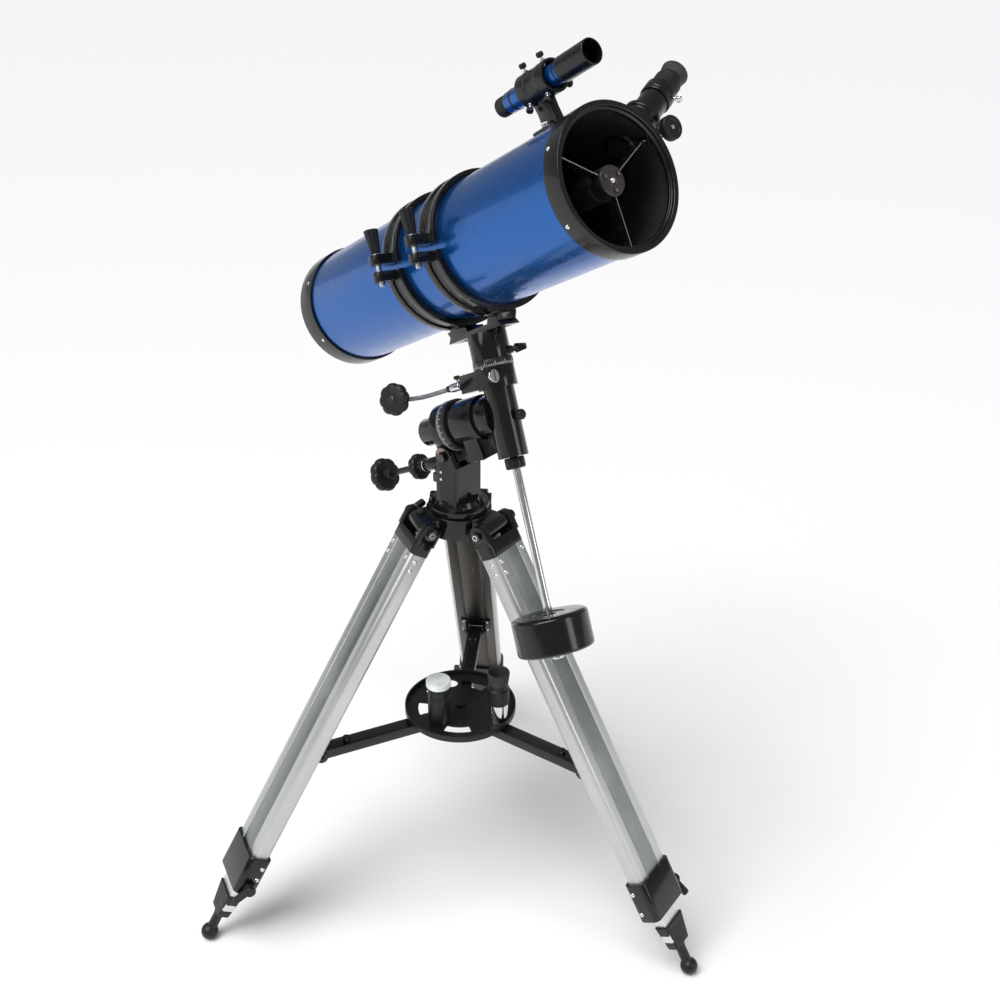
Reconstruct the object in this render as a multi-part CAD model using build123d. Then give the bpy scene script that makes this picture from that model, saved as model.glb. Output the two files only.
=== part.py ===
from build123d import *
import math
import os

# A Newtonian reflector telescope on a German equatorial mount and a folding aluminium tripod.
# Row frame, in millimetres: +Z is up, the origin is on the floor below the tripod's vertical axis,
# and the rear leg points along +Y.

os.makedirs("parts", exist_ok=True)

# ---- driving dimensions ----
# pointing of the mount
LATITUDE = 26.8          # tilt of the polar axis above the horizon, degrees
AZIMUTH = -34.3          # direction of the polar axis about +Z, degrees
HOUR_ANGLE = 10.84       # turn of the declination axis about the polar axis, degrees
DECLINATION = 10.52      # turn of the tube about the declination axis, degrees
CENTRE_Z = 841.7         # height of the polar axis above the floor, on the vertical axis
RA_TO_DEC = 96.3         # from the vertical axis to the declination axis, along the polar axis
DEC_TO_TUBE = 232.9      # from the polar axis to the tube axis, along the declination axis

# optical tube
TUBE_R = 90.0
TUBE_WALL = 1.2
TUBE_FRONT = 335.0       # end faces, measured along the tube from the declination axis
TUBE_REAR = -354.6
END_RING_R = 93.3
FRONT_RING_LENGTH = 29.0
REAR_RING_LENGTH = 36.2
FRONT_OPENING_R = 82.6
MIRROR_R = 75.0
MIRROR_THICKNESS = 20.0
HUB_Z = 321.0            # front face of the secondary holder's hub
VANE_ANGLE = 66.0
FOCUSER_Z = 270.0
FOCUSER_ANGLE = -52.5
FINDER_ANGLE = 6.0
FINDER_OFFSET = 146.0    # tube axis to finder axis
FINDER_FRONT = 350.0
FINDER_REAR = 164.0

# tube rings
RING_CENTRES = {"rear": -53.0, "front": 46.5}
RING_WIDTH = 38.0
RING_INNER_R = 90.4
RING_OUTER_R = 98.6
CLAMP_Y = 117.5          # tube axis to clamp screw
SADDLE_BOTTOM = -117.5   # from the tube axis, against the declination head

# tripod
LEG_AZIMUTHS = {"left": 210.0, "right": 330.0, "back": 90.0}
LEG_SPLAY = 30.0
PIN_R = 61.6             # radius and height of the leg hinge pins
PIN_Z = 689.5
LEG_LENGTH = 780.8       # hinge pin to the centre of the rubber tip
LEG_WIDTH = 78.0
LEG_DEPTH = 30.0
TIP_R = 13.8
TRAY_R = 92.0
TRAY_FLOOR = 325.6
BRACKET_S = 416.0        # hinge pin to spreader pivot, along the leg
BRACKET_X = -27.5        # spreader pivot, inside the leg's centre plane
ARM_INNER_R = 52.0

# clearances
FIT = 0.1                # turning or sliding fit on a radius
GAP = 0.3                # between curved faces of different bodies


# ---- frames ----
def direction(azimuth, elevation):
    a = math.radians(azimuth)
    b = math.radians(elevation)
    return Vector(math.cos(a) * math.cos(b), math.sin(a) * math.cos(b), math.sin(b))


UP = Vector(0, 0, 1)
HORIZONTAL = direction(AZIMUTH, 0)
POLAR = direction(AZIMUTH, LATITUDE)
EAST = UP.cross(POLAR).normalized()
ABOVE = POLAR.cross(EAST)
HOUR = math.radians(HOUR_ANGLE)
DEC = ABOVE * math.cos(HOUR) + EAST * math.sin(HOUR)
DEC_SIDE = POLAR.cross(DEC)
TILT = math.radians(DECLINATION)
TUBE = POLAR * math.cos(TILT) + DEC_SIDE * math.sin(TILT)

CENTRE = Vector(0, 0, CENTRE_Z)
DEC_CENTRE = CENTRE + POLAR * RA_TO_DEC
TUBE_CENTRE = DEC_CENTRE + DEC * DEC_TO_TUBE

BASE = Plane(origin=(0, 0, 0), x_dir=HORIZONTAL, z_dir=UP).location
RA = Plane(origin=CENTRE, x_dir=EAST, z_dir=POLAR).location
DEC_BODY = Plane(origin=DEC_CENTRE, x_dir=POLAR, z_dir=DEC).location
DEC_HEAD = Plane(origin=DEC_CENTRE, x_dir=TUBE, z_dir=DEC).location
OTA = Plane(origin=TUBE_CENTRE, x_dir=DEC, z_dir=TUBE).location


def leg_frame(azimuth):
    """x outwards from the leg's face, y across the leg, z up the leg, origin on the hinge pin."""
    out = direction(azimuth, 0)
    pin = out * PIN_R + UP * PIN_Z
    splay = math.radians(LEG_SPLAY)
    up_leg = UP * math.cos(splay) - out * math.sin(splay)
    face = out * math.cos(splay) + UP * math.sin(splay)
    return Plane(origin=pin, x_dir=face, z_dir=up_leg).location


def about_tube(angle, z):
    """x out of the tube at an angle from the declination axis, z towards the tube's front."""
    return OTA * Location((0, 0, z), (0, 0, angle))


# ---- shapes ----
def rod(radius, z0, z1):
    return Pos(0, 0, (z0 + z1) / 2) * Cylinder(radius, z1 - z0)


def pipe(outer, inner, z0, z1):
    return rod(outer, z0, z1) - rod(inner, z0 - 1, z1 + 1)


def taper(r0, r1, z0, z1):
    return Pos(0, 0, (z0 + z1) / 2) * Cone(r0, r1, z1 - z0)


def block(x0, x1, y0, y1, z0, z1):
    return Pos((x0 + x1) / 2, (y0 + y1) / 2, (z0 + z1) / 2) * Box(x1 - x0, y1 - y0, z1 - z0)


def rounded_bar(width_x, width_y, radius, z0, z1):
    """A bar along z with rounded long edges."""
    section = RectangleRounded(width_x, width_y, radius)
    return Pos(0, 0, z0) * extrude(section, z1 - z0)


def along_x(shape):
    """Turn a shape made along z so that it lies along +x."""
    return Rot(0, 90, 0) * shape


def along_y(shape):
    """Turn a shape made along z so that it lies along +y."""
    return Rot(-90, 0, 0) * shape


def hexagon(across_flats, z0, z1):
    section = RegularPolygon(across_flats / 2, 6, major_radius=False)
    return Pos(0, 0, z0) * extrude(section, z1 - z0)


def lobed_knob(radius, lobes, z0, z1):
    """A hand knob with round lobes and a chamfered rim."""
    edge = min(2.0, (z1 - z0) / 5)
    knob = chamfer(rod(radius, z0, z1).edges(), edge)
    notch_r = radius * 0.24
    for k in range(lobes):
        a = 2 * math.pi * (k + 0.5) / lobes
        x = radius * 1.1 * math.cos(a)
        y = radius * 1.1 * math.sin(a)
        knob -= Pos(x, y, 0) * rod(notch_r, z0 - 1, z1 + 1)
    return knob


def fluted_knob(r0, r1, z0, z1, flutes=8):
    """A slim knob that widens from r0 to r1 and has shallow flutes."""
    knob = taper(r0, r1, z0, z1)
    for k in range(flutes):
        a = 2 * math.pi * k / flutes
        knob -= Pos((r1 + 0.9) * math.cos(a), (r1 + 0.9) * math.sin(a), 0) * rod(1.8, z0 + 3, z1 + 1)
    return knob


def wing(thickness, length, root, z0):
    """A wing lever: a round boss and a tapered blade, turned about z."""
    outline = Polyline((-root, -thickness), (length, -thickness * 0.8), (length, thickness * 0.8),
                       (-root, thickness), close=True)
    blade = Pos(0, 0, z0) * extrude(make_face(outline), 9)
    blade = fillet(blade.edges().filter_by(Axis.Z), thickness * 0.5)
    return rod(root, z0, z0 + 14) + blade


NODES = {}


def add(node, frame, *shapes):
    """Keep a node's solids, moved from their own frame to the row frame."""
    solids = []
    for shape in shapes:
        solids += shape.moved(frame).solids()
    NODES[node] = solids


# ---- tripod ----
HEAD_TOP = 706.0
ARM_HALF_WIDTH = 25.0
CHEEK_IN = 25.8
CHEEK_OUT = 38.5
PIN_BOLT_R = 5.0


def tripod_head():
    head = rod(50, 672, HEAD_TOP) - rod(6.0, 660, 720) - rod(30, 660, 690)
    for azimuth in LEG_AZIMUTHS.values():
        arm = block(24, PIN_R, -ARM_HALF_WIDTH, ARM_HALF_WIDTH, PIN_Z - 13.5, HEAD_TOP - 3)
        lug = Pos(PIN_R, 0, PIN_Z) * along_y(rod(13.5, -ARM_HALF_WIDTH, ARM_HALF_WIDTH))
        bore = Pos(PIN_R, 0, PIN_Z) * along_y(rod(PIN_BOLT_R + FIT, -40, 40))
        head += Rot(0, 0, azimuth) * (arm + lug)
        head -= Rot(0, 0, azimuth) * bore
    head -= rod(30, 660, 690)
    return head


def hinge_bolt(wing_side):
    """The bolt of a leg hinge, with a hexagon head on one side and a wing on the other."""
    bolt = rod(PIN_BOLT_R, -43, 45) + hexagon(15, -44.5, -CHEEK_OUT - 0.2)
    lever = Rot(0, 0, 150) * wing(5.5, 26, 8, CHEEK_OUT + 0.4)
    turned = bolt + lever
    if wing_side < 0:
        turned = Rot(180, 0, 0) * turned
    return along_y(turned)


def leg_channel():
    channel = rounded_bar(LEG_DEPTH, LEG_WIDTH, 9, -640, -38)
    channel -= rounded_bar(LEG_DEPTH - 4, LEG_WIDTH - 4, 7, -641, -37)
    for side in (-1, 1):
        for y in (-17, 17):
            groove_x = side * LEG_DEPTH / 2
            channel -= block(groove_x - 0.8, groove_x + 0.8, y - 0.7, y + 0.7, -641, -37)
    return channel


def leg_castings():
    """Top casting with its two cheeks, spreader bracket and lower clamp collar of one leg."""
    cap = rounded_bar(LEG_DEPTH + 1, LEG_WIDTH + 1, 9, -37.8, -16)
    for side in (-1, 1):
        low, high = sorted((side * CHEEK_IN, side * CHEEK_OUT))
        cheek = block(-15, 15, low, high, -20, 0) + along_y(rod(15, low, high))
        cap += cheek
    cap -= along_y(rod(PIN_BOLT_R + FIT, -60, 60))
    cap -= along_y(rod(15.5, -CHEEK_IN, CHEEK_IN))
    bracket = block(-17.8, -15.1, -27, 27, -BRACKET_S - 22, -BRACKET_S + 22)
    for y in (-15.6, 15.6):
        ear = block(BRACKET_X, -17, y - 2.6, y + 2.6, -BRACKET_S - 9, -BRACKET_S + 9)
        ear += Pos(BRACKET_X, 0, -BRACKET_S) * along_y(rod(9, y - 2.6, y + 2.6))
        bracket += ear
    bracket += Pos(BRACKET_X, 0, -BRACKET_S) * along_y(rod(3, -21, 21))
    collar = rounded_bar(LEG_DEPTH + 8, LEG_WIDTH + 8, 10, -669, -604)
    collar -= rounded_bar(LEG_DEPTH + 0.2, LEG_WIDTH + 0.2, 9, -640.2, -603)
    collar -= block(-10.4, 10.4, -23.4, 23.4, -670, -630)
    collar -= Pos(0, 0, -655) * along_y(rod(4.2, 20, 60))
    return [cap, bracket, collar]


def leg_extension():
    bar = rounded_bar(20, 46, 3, -722, -250) - rounded_bar(16, 42, 2, -723, -249)
    return bar


def leg_foot():
    """Black shoe on the extension, its neck and the rubber tip that stands on the floor."""
    shoe = loft([Pos(0, 0, -694) * RectangleRounded(25, 51, 4), Pos(0, 0, -737) * RectangleRounded(20, 38, 4)])
    shoe -= block(-10.1, 10.1, -23.1, 23.1, -722.2, -690)
    neck = taper(8, 9.9, -746, -736.9)
    stem = rod(8, -772, -745)
    tip = Pos(0, 0, -LEG_LENGTH) * Sphere(TIP_R)
    return shoe + neck + stem + tip


def clamp_screw():
    """Wing screw that locks the extension, on the +y side of the collar."""
    screw = rod(4, 24.2, 46) + Rot(0, 0, 60) * wing(5.5, 30, 9, 43.5)
    return Pos(0, 0, -655) * along_y(screw)


def spreader_arm(azimuth):
    """Channel arm from the leg bracket to the underside of the tray, with its thumb nut."""
    splay = math.radians(LEG_SPLAY)
    pivot_r = PIN_R + BRACKET_S * math.sin(splay) + BRACKET_X * math.cos(splay)
    pivot_z = PIN_Z - BRACKET_S * math.cos(splay) + BRACKET_X * math.sin(splay)
    arm = block(ARM_INNER_R, pivot_r, -12, 12, pivot_z - 8, pivot_z + 8)
    arm += Pos(pivot_r, 0, pivot_z) * along_y(rod(8, -12, 12))
    arm -= block(ARM_INNER_R - 1, pivot_r - 14, -9.5, 9.5, pivot_z - 9, pivot_z + 5)
    arm -= Pos(pivot_r, 0, pivot_z) * along_y(rod(3 + FIT, -20, 20))
    nut = Pos(pivot_r - 46, 0, 0) * (rod(3, pivot_z + 4, pivot_z + 14) + rod(6, pivot_z + 8.0, pivot_z + 15))
    return Rot(0, 0, azimuth) * (arm + nut), pivot_r, pivot_z


def accessory_tray():
    """Round dish with a raised rim, crescent openings and a centre bolt."""
    tray = rod(TRAY_R, TRAY_FLOOR, TRAY_FLOOR + 3) + pipe(TRAY_R, TRAY_R - 3, TRAY_FLOOR, TRAY_FLOOR + 11)
    for centre in (-88, -165, 75):
        arc = pipe(70, 54, TRAY_FLOOR - 1, TRAY_FLOOR + 4)
        wedge = Polyline((0, 0), (110, -38), (110, 38), close=True)
        arc &= Pos(0, 0, TRAY_FLOOR - 2) * extrude(make_face(wedge), 10)
        tray -= Rot(0, 0, centre) * arc
    for angle in (0, 30, 110, 145):
        a = math.radians(angle)
        tray -= Pos(66 * math.cos(a), 66 * math.sin(a), 0) * rod(11 if angle in (0, 110) else 8, 300, 400)
    tray += rod(14, TRAY_FLOOR - 14, TRAY_FLOOR + 1) + hexagon(13, TRAY_FLOOR + 2, TRAY_FLOOR + 9)
    return tray


TRAY_TOP = TRAY_FLOOR + 3.1
SPARE_EYEPIECE = (65.5, -30.0)
BARLOW = (-30.0, -46.0)


def spare_eyepiece():
    """Eyepiece that stands on the tray: bright barrel below, black body and rubber cup above."""
    x, y = SPARE_EYEPIECE
    shape = rod(15.6, 0, 36) + rod(17.5, 36, 70) + rod(16, 70, 82) + taper(16, 18.5, 82, 96)
    shape -= rod(12.5, -1, 28)
    shape -= taper(11, 15, 86, 97)
    return Pos(x, y, TRAY_TOP) * shape


def barlow_lens():
    """Long black barrel with a pale push-on cap."""
    x, y = BARLOW
    shape = rod(14.2, 0, 76) + rod(17.5, 8, 70) + rod(20, 74, 85)
    return Pos(x, y, TRAY_TOP) * shape


# ---- mount ----
PIVOT_X = -6.0           # latitude pivot in the base frame
PIVOT_Z = 797.0
CHEEK_GAP = 18.0         # half the gap between the fork's cheeks
CHEEK_FACE = 28.0
SCREW_Y = -48.0          # latitude screw below the polar axis


def azimuth_base():
    """Turning base: a flange, and a fork whose cheeks hold the latitude pivot."""
    base = rod(46, HEAD_TOP + 0.3, 716)
    base += taper(33, 30, 716, 724)
    base += block(-20, 19.5, -CHEEK_FACE, CHEEK_FACE, 716, 752)
    base += block(17, 19.5, -CHEEK_GAP - 0.5, CHEEK_GAP + 0.5, 750, 783)
    for side in (-1, 1):
        low, high = sorted((side * (CHEEK_GAP + 0.3), side * CHEEK_FACE))
        base += block(-20, 19.5, low, high, 750, 784)
        outline = Polyline((-20, 783), (19.5, 783), (PIVOT_X + 14, PIVOT_Z + 4), (PIVOT_X - 14, PIVOT_Z + 4),
                           close=True)
        cheek = Pos(0, low, 0) * extrude(Plane.XZ * make_face(outline), high - low, dir=(0, 1, 0))
        base += cheek + Pos(PIVOT_X, 0, PIVOT_Z) * along_y(rod(15, low, high))
    base -= Pos(PIVOT_X, 0, PIVOT_Z) * along_y(rod(5 + FIT, -60, 60))
    base -= rod(5.2, 700, 735)
    nose = block(-44, -18, -9, 9, 738, 752)
    base += nose
    return base


def screw_boss():
    """Threaded boss for the latitude screw, in the polar frame, on the base's nose."""
    boss = Pos(0, SCREW_Y, 0) * rod(10, -96, -61)
    foot = block(-8, 8, SCREW_Y - 24, SCREW_Y - 8, -75, -61)
    return (boss + foot) - Pos(0, SCREW_Y, 0) * rod(5 + FIT, -100, -50)


def mount_bolts():
    """Latitude pivot bolt, azimuth screws and the centre bolt below the base."""
    pivot = Pos(PIVOT_X, 0, PIVOT_Z) * along_y(
        rod(5, -30, 30) + hexagon(13, -34, -CHEEK_FACE - 0.1) + hexagon(13, CHEEK_FACE + 0.1, 34))
    centre = rod(5, 684, 730) + rod(14, 680, 689)
    parts = [pivot, centre]
    for x, y in ((-30, -27), (30, -24), (34, 16), (-28, 28)):
        parts.append(Pos(x, y, 0) * (rod(2.5, 716.05, 719) + hexagon(7, 718, 724)))
    return parts


def latitude_screw():
    screw = rod(5, -182, -46) + lobed_knob(27, 8, -210, -189) + taper(12, 9, -190, -178)
    return Pos(0, SCREW_Y, 0) * screw


def latitude_lock_knob():
    knob = lobed_knob(20.5, 8, -121, -106) + taper(11, 8.5, -106.2, -96.4)
    knob -= rod(5 + FIT, -130, -60)
    return Pos(0, SCREW_Y, 0) * knob


WHEEL_Z = 38.0           # middle of the right ascension worm wheel, along the polar axis


def ra_housing():
    """Fixed polar axis housing with the worm box and the tongue that sits between the fork's cheeks."""
    body = rod(21, -66, -26) + rod(36, -26, -8.3) + rod(30, -9, 9) + rod(34, 8.3, 60)
    body += block(-26, 26, -55, -20, WHEEL_Z - 14, WHEEL_Z + 14)
    tongue = block(-CHEEK_GAP, CHEEK_GAP, -52, -20, -42, -8.4)
    body += tongue
    body -= rod(12 + FIT, -61, 61)
    body -= rod(25.5, WHEEL_Z - 7, WHEEL_Z + 7)
    body -= Pos(0, -30.5, WHEEL_Z) * along_x(rod(6.4, -22, 20))
    body -= Pos(0, -30.5, WHEEL_Z) * along_x(rod(4 + FIT, -23.5, 30))
    pivot_above = (PIVOT_X * POLAR.dot(UP) * -1) + (PIVOT_Z - CENTRE_Z) * ABOVE.dot(UP)
    pivot_along = PIVOT_X * POLAR.dot(HORIZONTAL) + (PIVOT_Z - CENTRE_Z) * POLAR.dot(UP)
    body -= Pos(0, pivot_above, pivot_along) * along_x(rod(5 + FIT, -40, 40))
    for low, high in ((-40, -CHEEK_GAP), (CHEEK_GAP, 40)):
        body -= Pos(0, pivot_above, pivot_along) * along_x(rod(15.5, low, high))
    body += Pos(0, -36, 21) * block(-1.5, 1.5, -2, 4, -12, 3)
    return body


def ra_worm():
    """Worm shaft across the housing; its free end takes a slow-motion control."""
    worm = rod(4, -20, 44) + rod(5.5, -9, 9)
    return Pos(0, -30.5, WHEEL_Z) * along_x(worm)


def ra_setting_circle():
    return pipe(38, 30 + GAP, -7.8, 7.8)


DEC_WHEEL_Z = 51.5
WORM_Y = -25.5


def dec_housing():
    """Turns on the polar axis: polar shaft with worm wheel, and the declination housing."""
    body = rod(22, -64, 38) + rod(28.5, 36, 65)
    neck_length = RA_TO_DEC - 60.6
    neck = along_x(rod(31, -neck_length, -10))
    body += neck
    body += block(-38, 18, -36, -14, 38, 64)
    body -= rod(10 + FIT, -80, 80)
    body -= rod(20.5, 45, 58)
    body -= Pos(0, WORM_Y, DEC_WHEEL_Z) * along_x(rod(6, -31, 14.5))
    body -= Pos(0, WORM_Y, DEC_WHEEL_Z) * along_x(rod(3.5 + FIT, -60, 14))
    body -= rod(6.1, -90, -60)
    shaft = along_x(rod(12, -RA_TO_DEC - 58, -24))
    shaft += Pos(-RA_TO_DEC + WHEEL_Z, 0, 0) * along_x(rod(24.3, -6, 6))
    cap = Pos(0, WORM_Y, DEC_WHEEL_Z) * along_x(rod(9.5, 18.1, 22.5) - block(-10, 10, -1, 1, 21.5, 23))
    return [body + shaft, cap]


def dec_head():
    """Turning head: declination shaft and wheel inside, clamp head and saddle seat above."""
    head = rod(10, -58, 77) + rod(19.5, 46, 57) + rod(28.5, 76.6, DEC_TO_TUBE + SADDLE_BOTTOM - 0.05)
    head += Rot(0, 0, 44) * (Pos(27, 0, 85) * along_x(rod(5.5, 0, 5)))
    return head


def dec_setting_circle():
    return pipe(29.2, 10.4, 65.4, 76.2)


def dec_lock_lever():
    """Clamp screw on the head's front side, with a tapered wing."""
    outline = Polyline((9, -7), (25, -4), (25, 4), (9, 7), close=True)
    blade = Pos(0, -2.5, 0) * extrude(Plane.XZ * make_face(outline), 5, dir=(0, 1, 0))
    lever = along_x(rod(4, 5.2, 12)) + along_x(rod(5.5, 8, 14)) + blade
    return Pos(0, 0, 85) * Rot(0, 0, 44) * Pos(27, 0, 0) * lever


def ra_lock_knob():
    """Small clamp knob on the housing's front side."""
    return Pos(0, 0, -8) * along_x(rod(3, 22.3, 27) + lobed_knob(7.5, 6, 26, 36))


def dec_worm():
    """Declination worm shaft, with the clamp sleeve that holds the flexible control."""
    shaft = rod(3.5, -56, 12) + rod(5, -12, 10)
    sleeve = rod(6.5, -66, -47)
    screw = Pos(0, 0, -52) * along_x(rod(1.8, 5, 12) + rod(4.5, 10, 15))
    worm = shaft + sleeve + Rot(0, 0, 180) * screw
    return Pos(0, WORM_Y, DEC_WHEEL_Z) * along_x(worm)


# route of the flexible control, in the declination housing's frame
CABLE_START = Vector(-66.3, WORM_Y, DEC_WHEEL_Z)
CABLE_R = 3.3
CABLE_POINTS = [(-66.3, WORM_Y, DEC_WHEEL_Z), (-90, -27, DEC_WHEEL_Z - 1), (-111, -42, DEC_WHEEL_Z - 2.5),
                (-119, -65, DEC_WHEEL_Z - 1.5), (-112, -88, DEC_WHEEL_Z)]
CABLE_BENDS = [37, 33.5, 33]


def dec_cable():
    """Stiff flexible control, from the worm's sleeve to the hand knob."""
    path = FilletPolyline(*CABLE_POINTS, radius=CABLE_BENDS)
    start = Plane(origin=path @ 0, z_dir=path % 0)
    return sweep(start * Circle(CABLE_R), path=path)


def cable_end():
    """Frame at the cable's end, with z along the cable's last run."""
    tip = Vector(*CABLE_POINTS[-1])
    run = (tip - Vector(*CABLE_POINTS[-2])).normalized()
    return Plane(origin=tip, z_dir=run).location


def dec_knob():
    knob = rod(7, 0.3, 10) + lobed_knob(23.5, 8, 5, 23)
    return knob


SHAFT_END = -353.0
WEIGHT_TOP = -291.9
WEIGHT_HEIGHT = 56.6
WEIGHT_R = 56.0


def counterweight_shaft():
    """Bright shaft with a ribbed lock nut at its top and a safety stop at its end."""
    shaft = rod(6, SHAFT_END, -61) + rod(14.6, -80, -64.3)
    for k in range(12):
        a = 2 * math.pi * k / 12
        shaft -= Pos(15.4 * math.cos(a), 15.4 * math.sin(a), 0) * rod(1.8, -81, -67)
    return shaft + rod(9, SHAFT_END - 5, WEIGHT_TOP - WEIGHT_HEIGHT - 0.4)


def counterweight():
    weight = rod(WEIGHT_R, WEIGHT_TOP - WEIGHT_HEIGHT, WEIGHT_TOP)
    weight = fillet(weight.edges(), 3)
    return weight - rod(6 + GAP, WEIGHT_TOP - 80, WEIGHT_TOP + 10)


# ---- optical tube assembly ----
def saddle_plate():
    """Plate with undercut ends between the declination head and the two rings."""
    half = 16
    outline = Polyline((SADDLE_BOTTOM, -75), (-109, -68), (-100.5, -73), (-100.5, -26), (-109, -22), (-109, 28),
                       (-100.5, 32), (-100.5, 59), (-109, 54), (SADDLE_BOTTOM, 61), close=True)
    face = Plane.XZ * make_face(outline)
    plate = Pos(0, -half, 0) * extrude(face, 2 * half, dir=(0, 1, 0))
    for z in RING_CENTRES.values():
        plate += block(-101, -99.2, -half, half, z - 12, z + 12)
        plate -= Pos(-106, 0, z) * along_x(rod(3.2, -20, 20))
    return plate


def ring_profile_cut(z):
    """Shallow channel around the outside of a ring."""
    return pipe(RING_OUTER_R + 1, RING_OUTER_R - 2.2, z - 7, z + 9)


def sector(radius, start, end, z0, z1):
    """A pie slice about z from one angle to another, less than half a turn at a time."""
    points = [(0, 0)]
    steps = 6
    for k in range(steps + 1):
        a = math.radians(start + (end - start) * k / steps)
        points.append((radius * math.cos(a), radius * math.sin(a)))
    return Pos(0, 0, z0) * extrude(make_face(Polyline(*points, close=True)), z1 - z0)


UPPER_END = 87.0
LOWER_END = 94.0
HINGE_Y = -104.5


def ring_upper(z):
    """Opening half of a ring: the band, the clamp lug and the hinge knuckle."""
    half = RING_WIDTH / 2
    band = pipe(RING_OUTER_R, RING_INNER_R, z - half, z + half) - ring_profile_cut(z)
    band &= sector(150, -86.5, UPPER_END, z - half, z + half)
    lug = block(4.2, 18, 93, 128, z - 10, z + 10)
    lug = fillet(lug.edges().filter_by(Axis.X).sort_by(Axis.Y)[-2:], 8)
    lug -= rod(RING_INNER_R, z - 40, z + 40)
    lug -= Pos(0, CLAMP_Y, z) * along_x(rod(4.2, 0, 30))
    knuckle = Pos(0, HINGE_Y, z) * (rod(6.5, -8, 8) + block(0, 10, 0, 10, -8, 8)) - rod(RING_INNER_R, z - 40, z + 40)
    knuckle -= Pos(0, HINGE_Y, z) * rod(3 + FIT, -30, 30)
    return band + lug + knuckle


def ring_lower(z):
    """Fixed half of a ring: the band, its foot on the saddle, the slotted lug and the hinge pin."""
    half = RING_WIDTH / 2
    band = pipe(RING_OUTER_R, RING_INNER_R, z - half, z + half) - ring_profile_cut(z)
    band &= sector(150, LOWER_END, 268.5, z - half, z + half)
    foot = block(-99.1, -92, -16, 16, z - 12, z + 12) - rod(RING_INNER_R, z - 40, z + 40)
    lug = block(-20, -6, 90, 128, z - 10, z + 10)
    lug = fillet(lug.edges().filter_by(Axis.X).sort_by(Axis.Y)[-2:], 8)
    lug -= rod(RING_INNER_R, z - 40, z + 40)
    lug -= Pos(-20, CLAMP_Y, z) * along_x(rod(6.2, -20, 30))
    ears = Rot(0, 0, 0) * block(-12, -1, HINGE_Y + 1, -88, z - half, z + half)
    ears = ears - rod(RING_INNER_R, z - 40, z + 40)
    eyes = Pos(0, HINGE_Y, z) * (rod(6.5, -half, -8.4) + rod(6.5, 8.4, half))
    web = block(-10, 0, HINGE_Y, -94, z - half, z - 8.4) + block(-10, 0, HINGE_Y, -94, z + 8.4, z + half)
    ears -= Pos(0, HINGE_Y, z) * rod(7.2, -8.4, 8.4)
    pin = Pos(0, HINGE_Y, z) * rod(3, -half, half)
    return band + foot + lug + ears + eyes + web + pin


def ring_knob(z):
    """Clamp screw with its long fluted knob."""
    screw = rod(4, -26, 20) + fluted_knob(6.5, 10, 18.2, 52) + rod(10.6, 50, 54)
    return Pos(0, CLAMP_Y, z) * along_x(screw)


def main_tube():
    tube = pipe(TUBE_R, TUBE_R - TUBE_WALL, TUBE_REAR + 3, TUBE_FRONT - 4)
    hole = about_angle(FOCUSER_ANGLE, FOCUSER_Z) * along_x(rod(24, 60, 120))
    return tube - hole


def about_angle(angle, z):
    """x out of the tube at an angle from the declination axis, in the tube's own frame."""
    return Pos(0, 0, z) * Rot(0, 0, angle)


def front_ring():
    z0 = TUBE_FRONT - FRONT_RING_LENGTH
    ring = pipe(END_RING_R, TUBE_R + 0.1, z0, TUBE_FRONT - 3.8)
    ring += pipe(END_RING_R, TUBE_R - 4.2, TUBE_FRONT - 3.9, TUBE_FRONT)
    ring += pipe(TUBE_R - 2.2, FRONT_OPENING_R, TUBE_FRONT - 10, TUBE_FRONT - 5)
    ring += pipe(TUBE_R - 2.0, TUBE_R - 5, TUBE_FRONT - 6, TUBE_FRONT - 3)
    for k in range(6):
        ring += about_angle(62 + 60 * k, z0 + 8) * along_x(rod(2.6, END_RING_R - 1, END_RING_R + 1.2))
    return ring


def rear_cell():
    """Rear end ring with the mirror's cell plate, its push-pull screws and three clips."""
    z1 = TUBE_REAR + REAR_RING_LENGTH
    cell = pipe(END_RING_R, TUBE_R + 0.1, TUBE_REAR + 2.8, z1) + pipe(END_RING_R, 70, TUBE_REAR, TUBE_REAR + 2.9)
    for k in range(6):
        cell += about_angle(62 + 60 * k, z1 - 12) * along_x(rod(2.6, END_RING_R - 1, END_RING_R + 1.2))
    cell += pipe(TUBE_R - 3, 62, TUBE_REAR + 2, TUBE_REAR + 10)
    for k in range(3):
        arm = block(0, 70, -10, 10, TUBE_REAR + 3, TUBE_REAR + 10)
        cell += about_angle(120 * k, 0) * arm
    return cell


MIRROR_BACK = TUBE_REAR + 24.0


def mirror_glass():
    """Concave mirror."""
    curve_r = 1500.0
    glass = rod(MIRROR_R, MIRROR_BACK, MIRROR_BACK + MIRROR_THICKNESS)
    sagitta = curve_r - math.sqrt(curve_r ** 2 - MIRROR_R ** 2)
    ball = Pos(0, 0, MIRROR_BACK + MIRROR_THICKNESS - sagitta + curve_r) * Sphere(curve_r)
    return glass - ball


def mirror_support():
    """Tilting plate behind the mirror, with three clips over its edge and three adjusting screws."""
    plate = rod(80, MIRROR_BACK - 6, MIRROR_BACK - 0.05) - rod(20, MIRROR_BACK - 10, MIRROR_BACK)
    for k in range(3):
        clip = block(MIRROR_R + 0.4, MIRROR_R + 4.5, -6, 6, MIRROR_BACK - 1, MIRROR_BACK + MIRROR_THICKNESS + 3)
        clip += block(MIRROR_R - 6, MIRROR_R + 4.5, -6, 6, MIRROR_BACK + MIRROR_THICKNESS + 0.3,
                      MIRROR_BACK + MIRROR_THICKNESS + 3)
        plate += Rot(0, 0, 60 + 120 * k) * clip
        plate += Rot(0, 0, 120 * k) * Pos(52, 0, 0) * rod(3, TUBE_REAR + 16, MIRROR_BACK - 5)
    return plate


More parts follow.
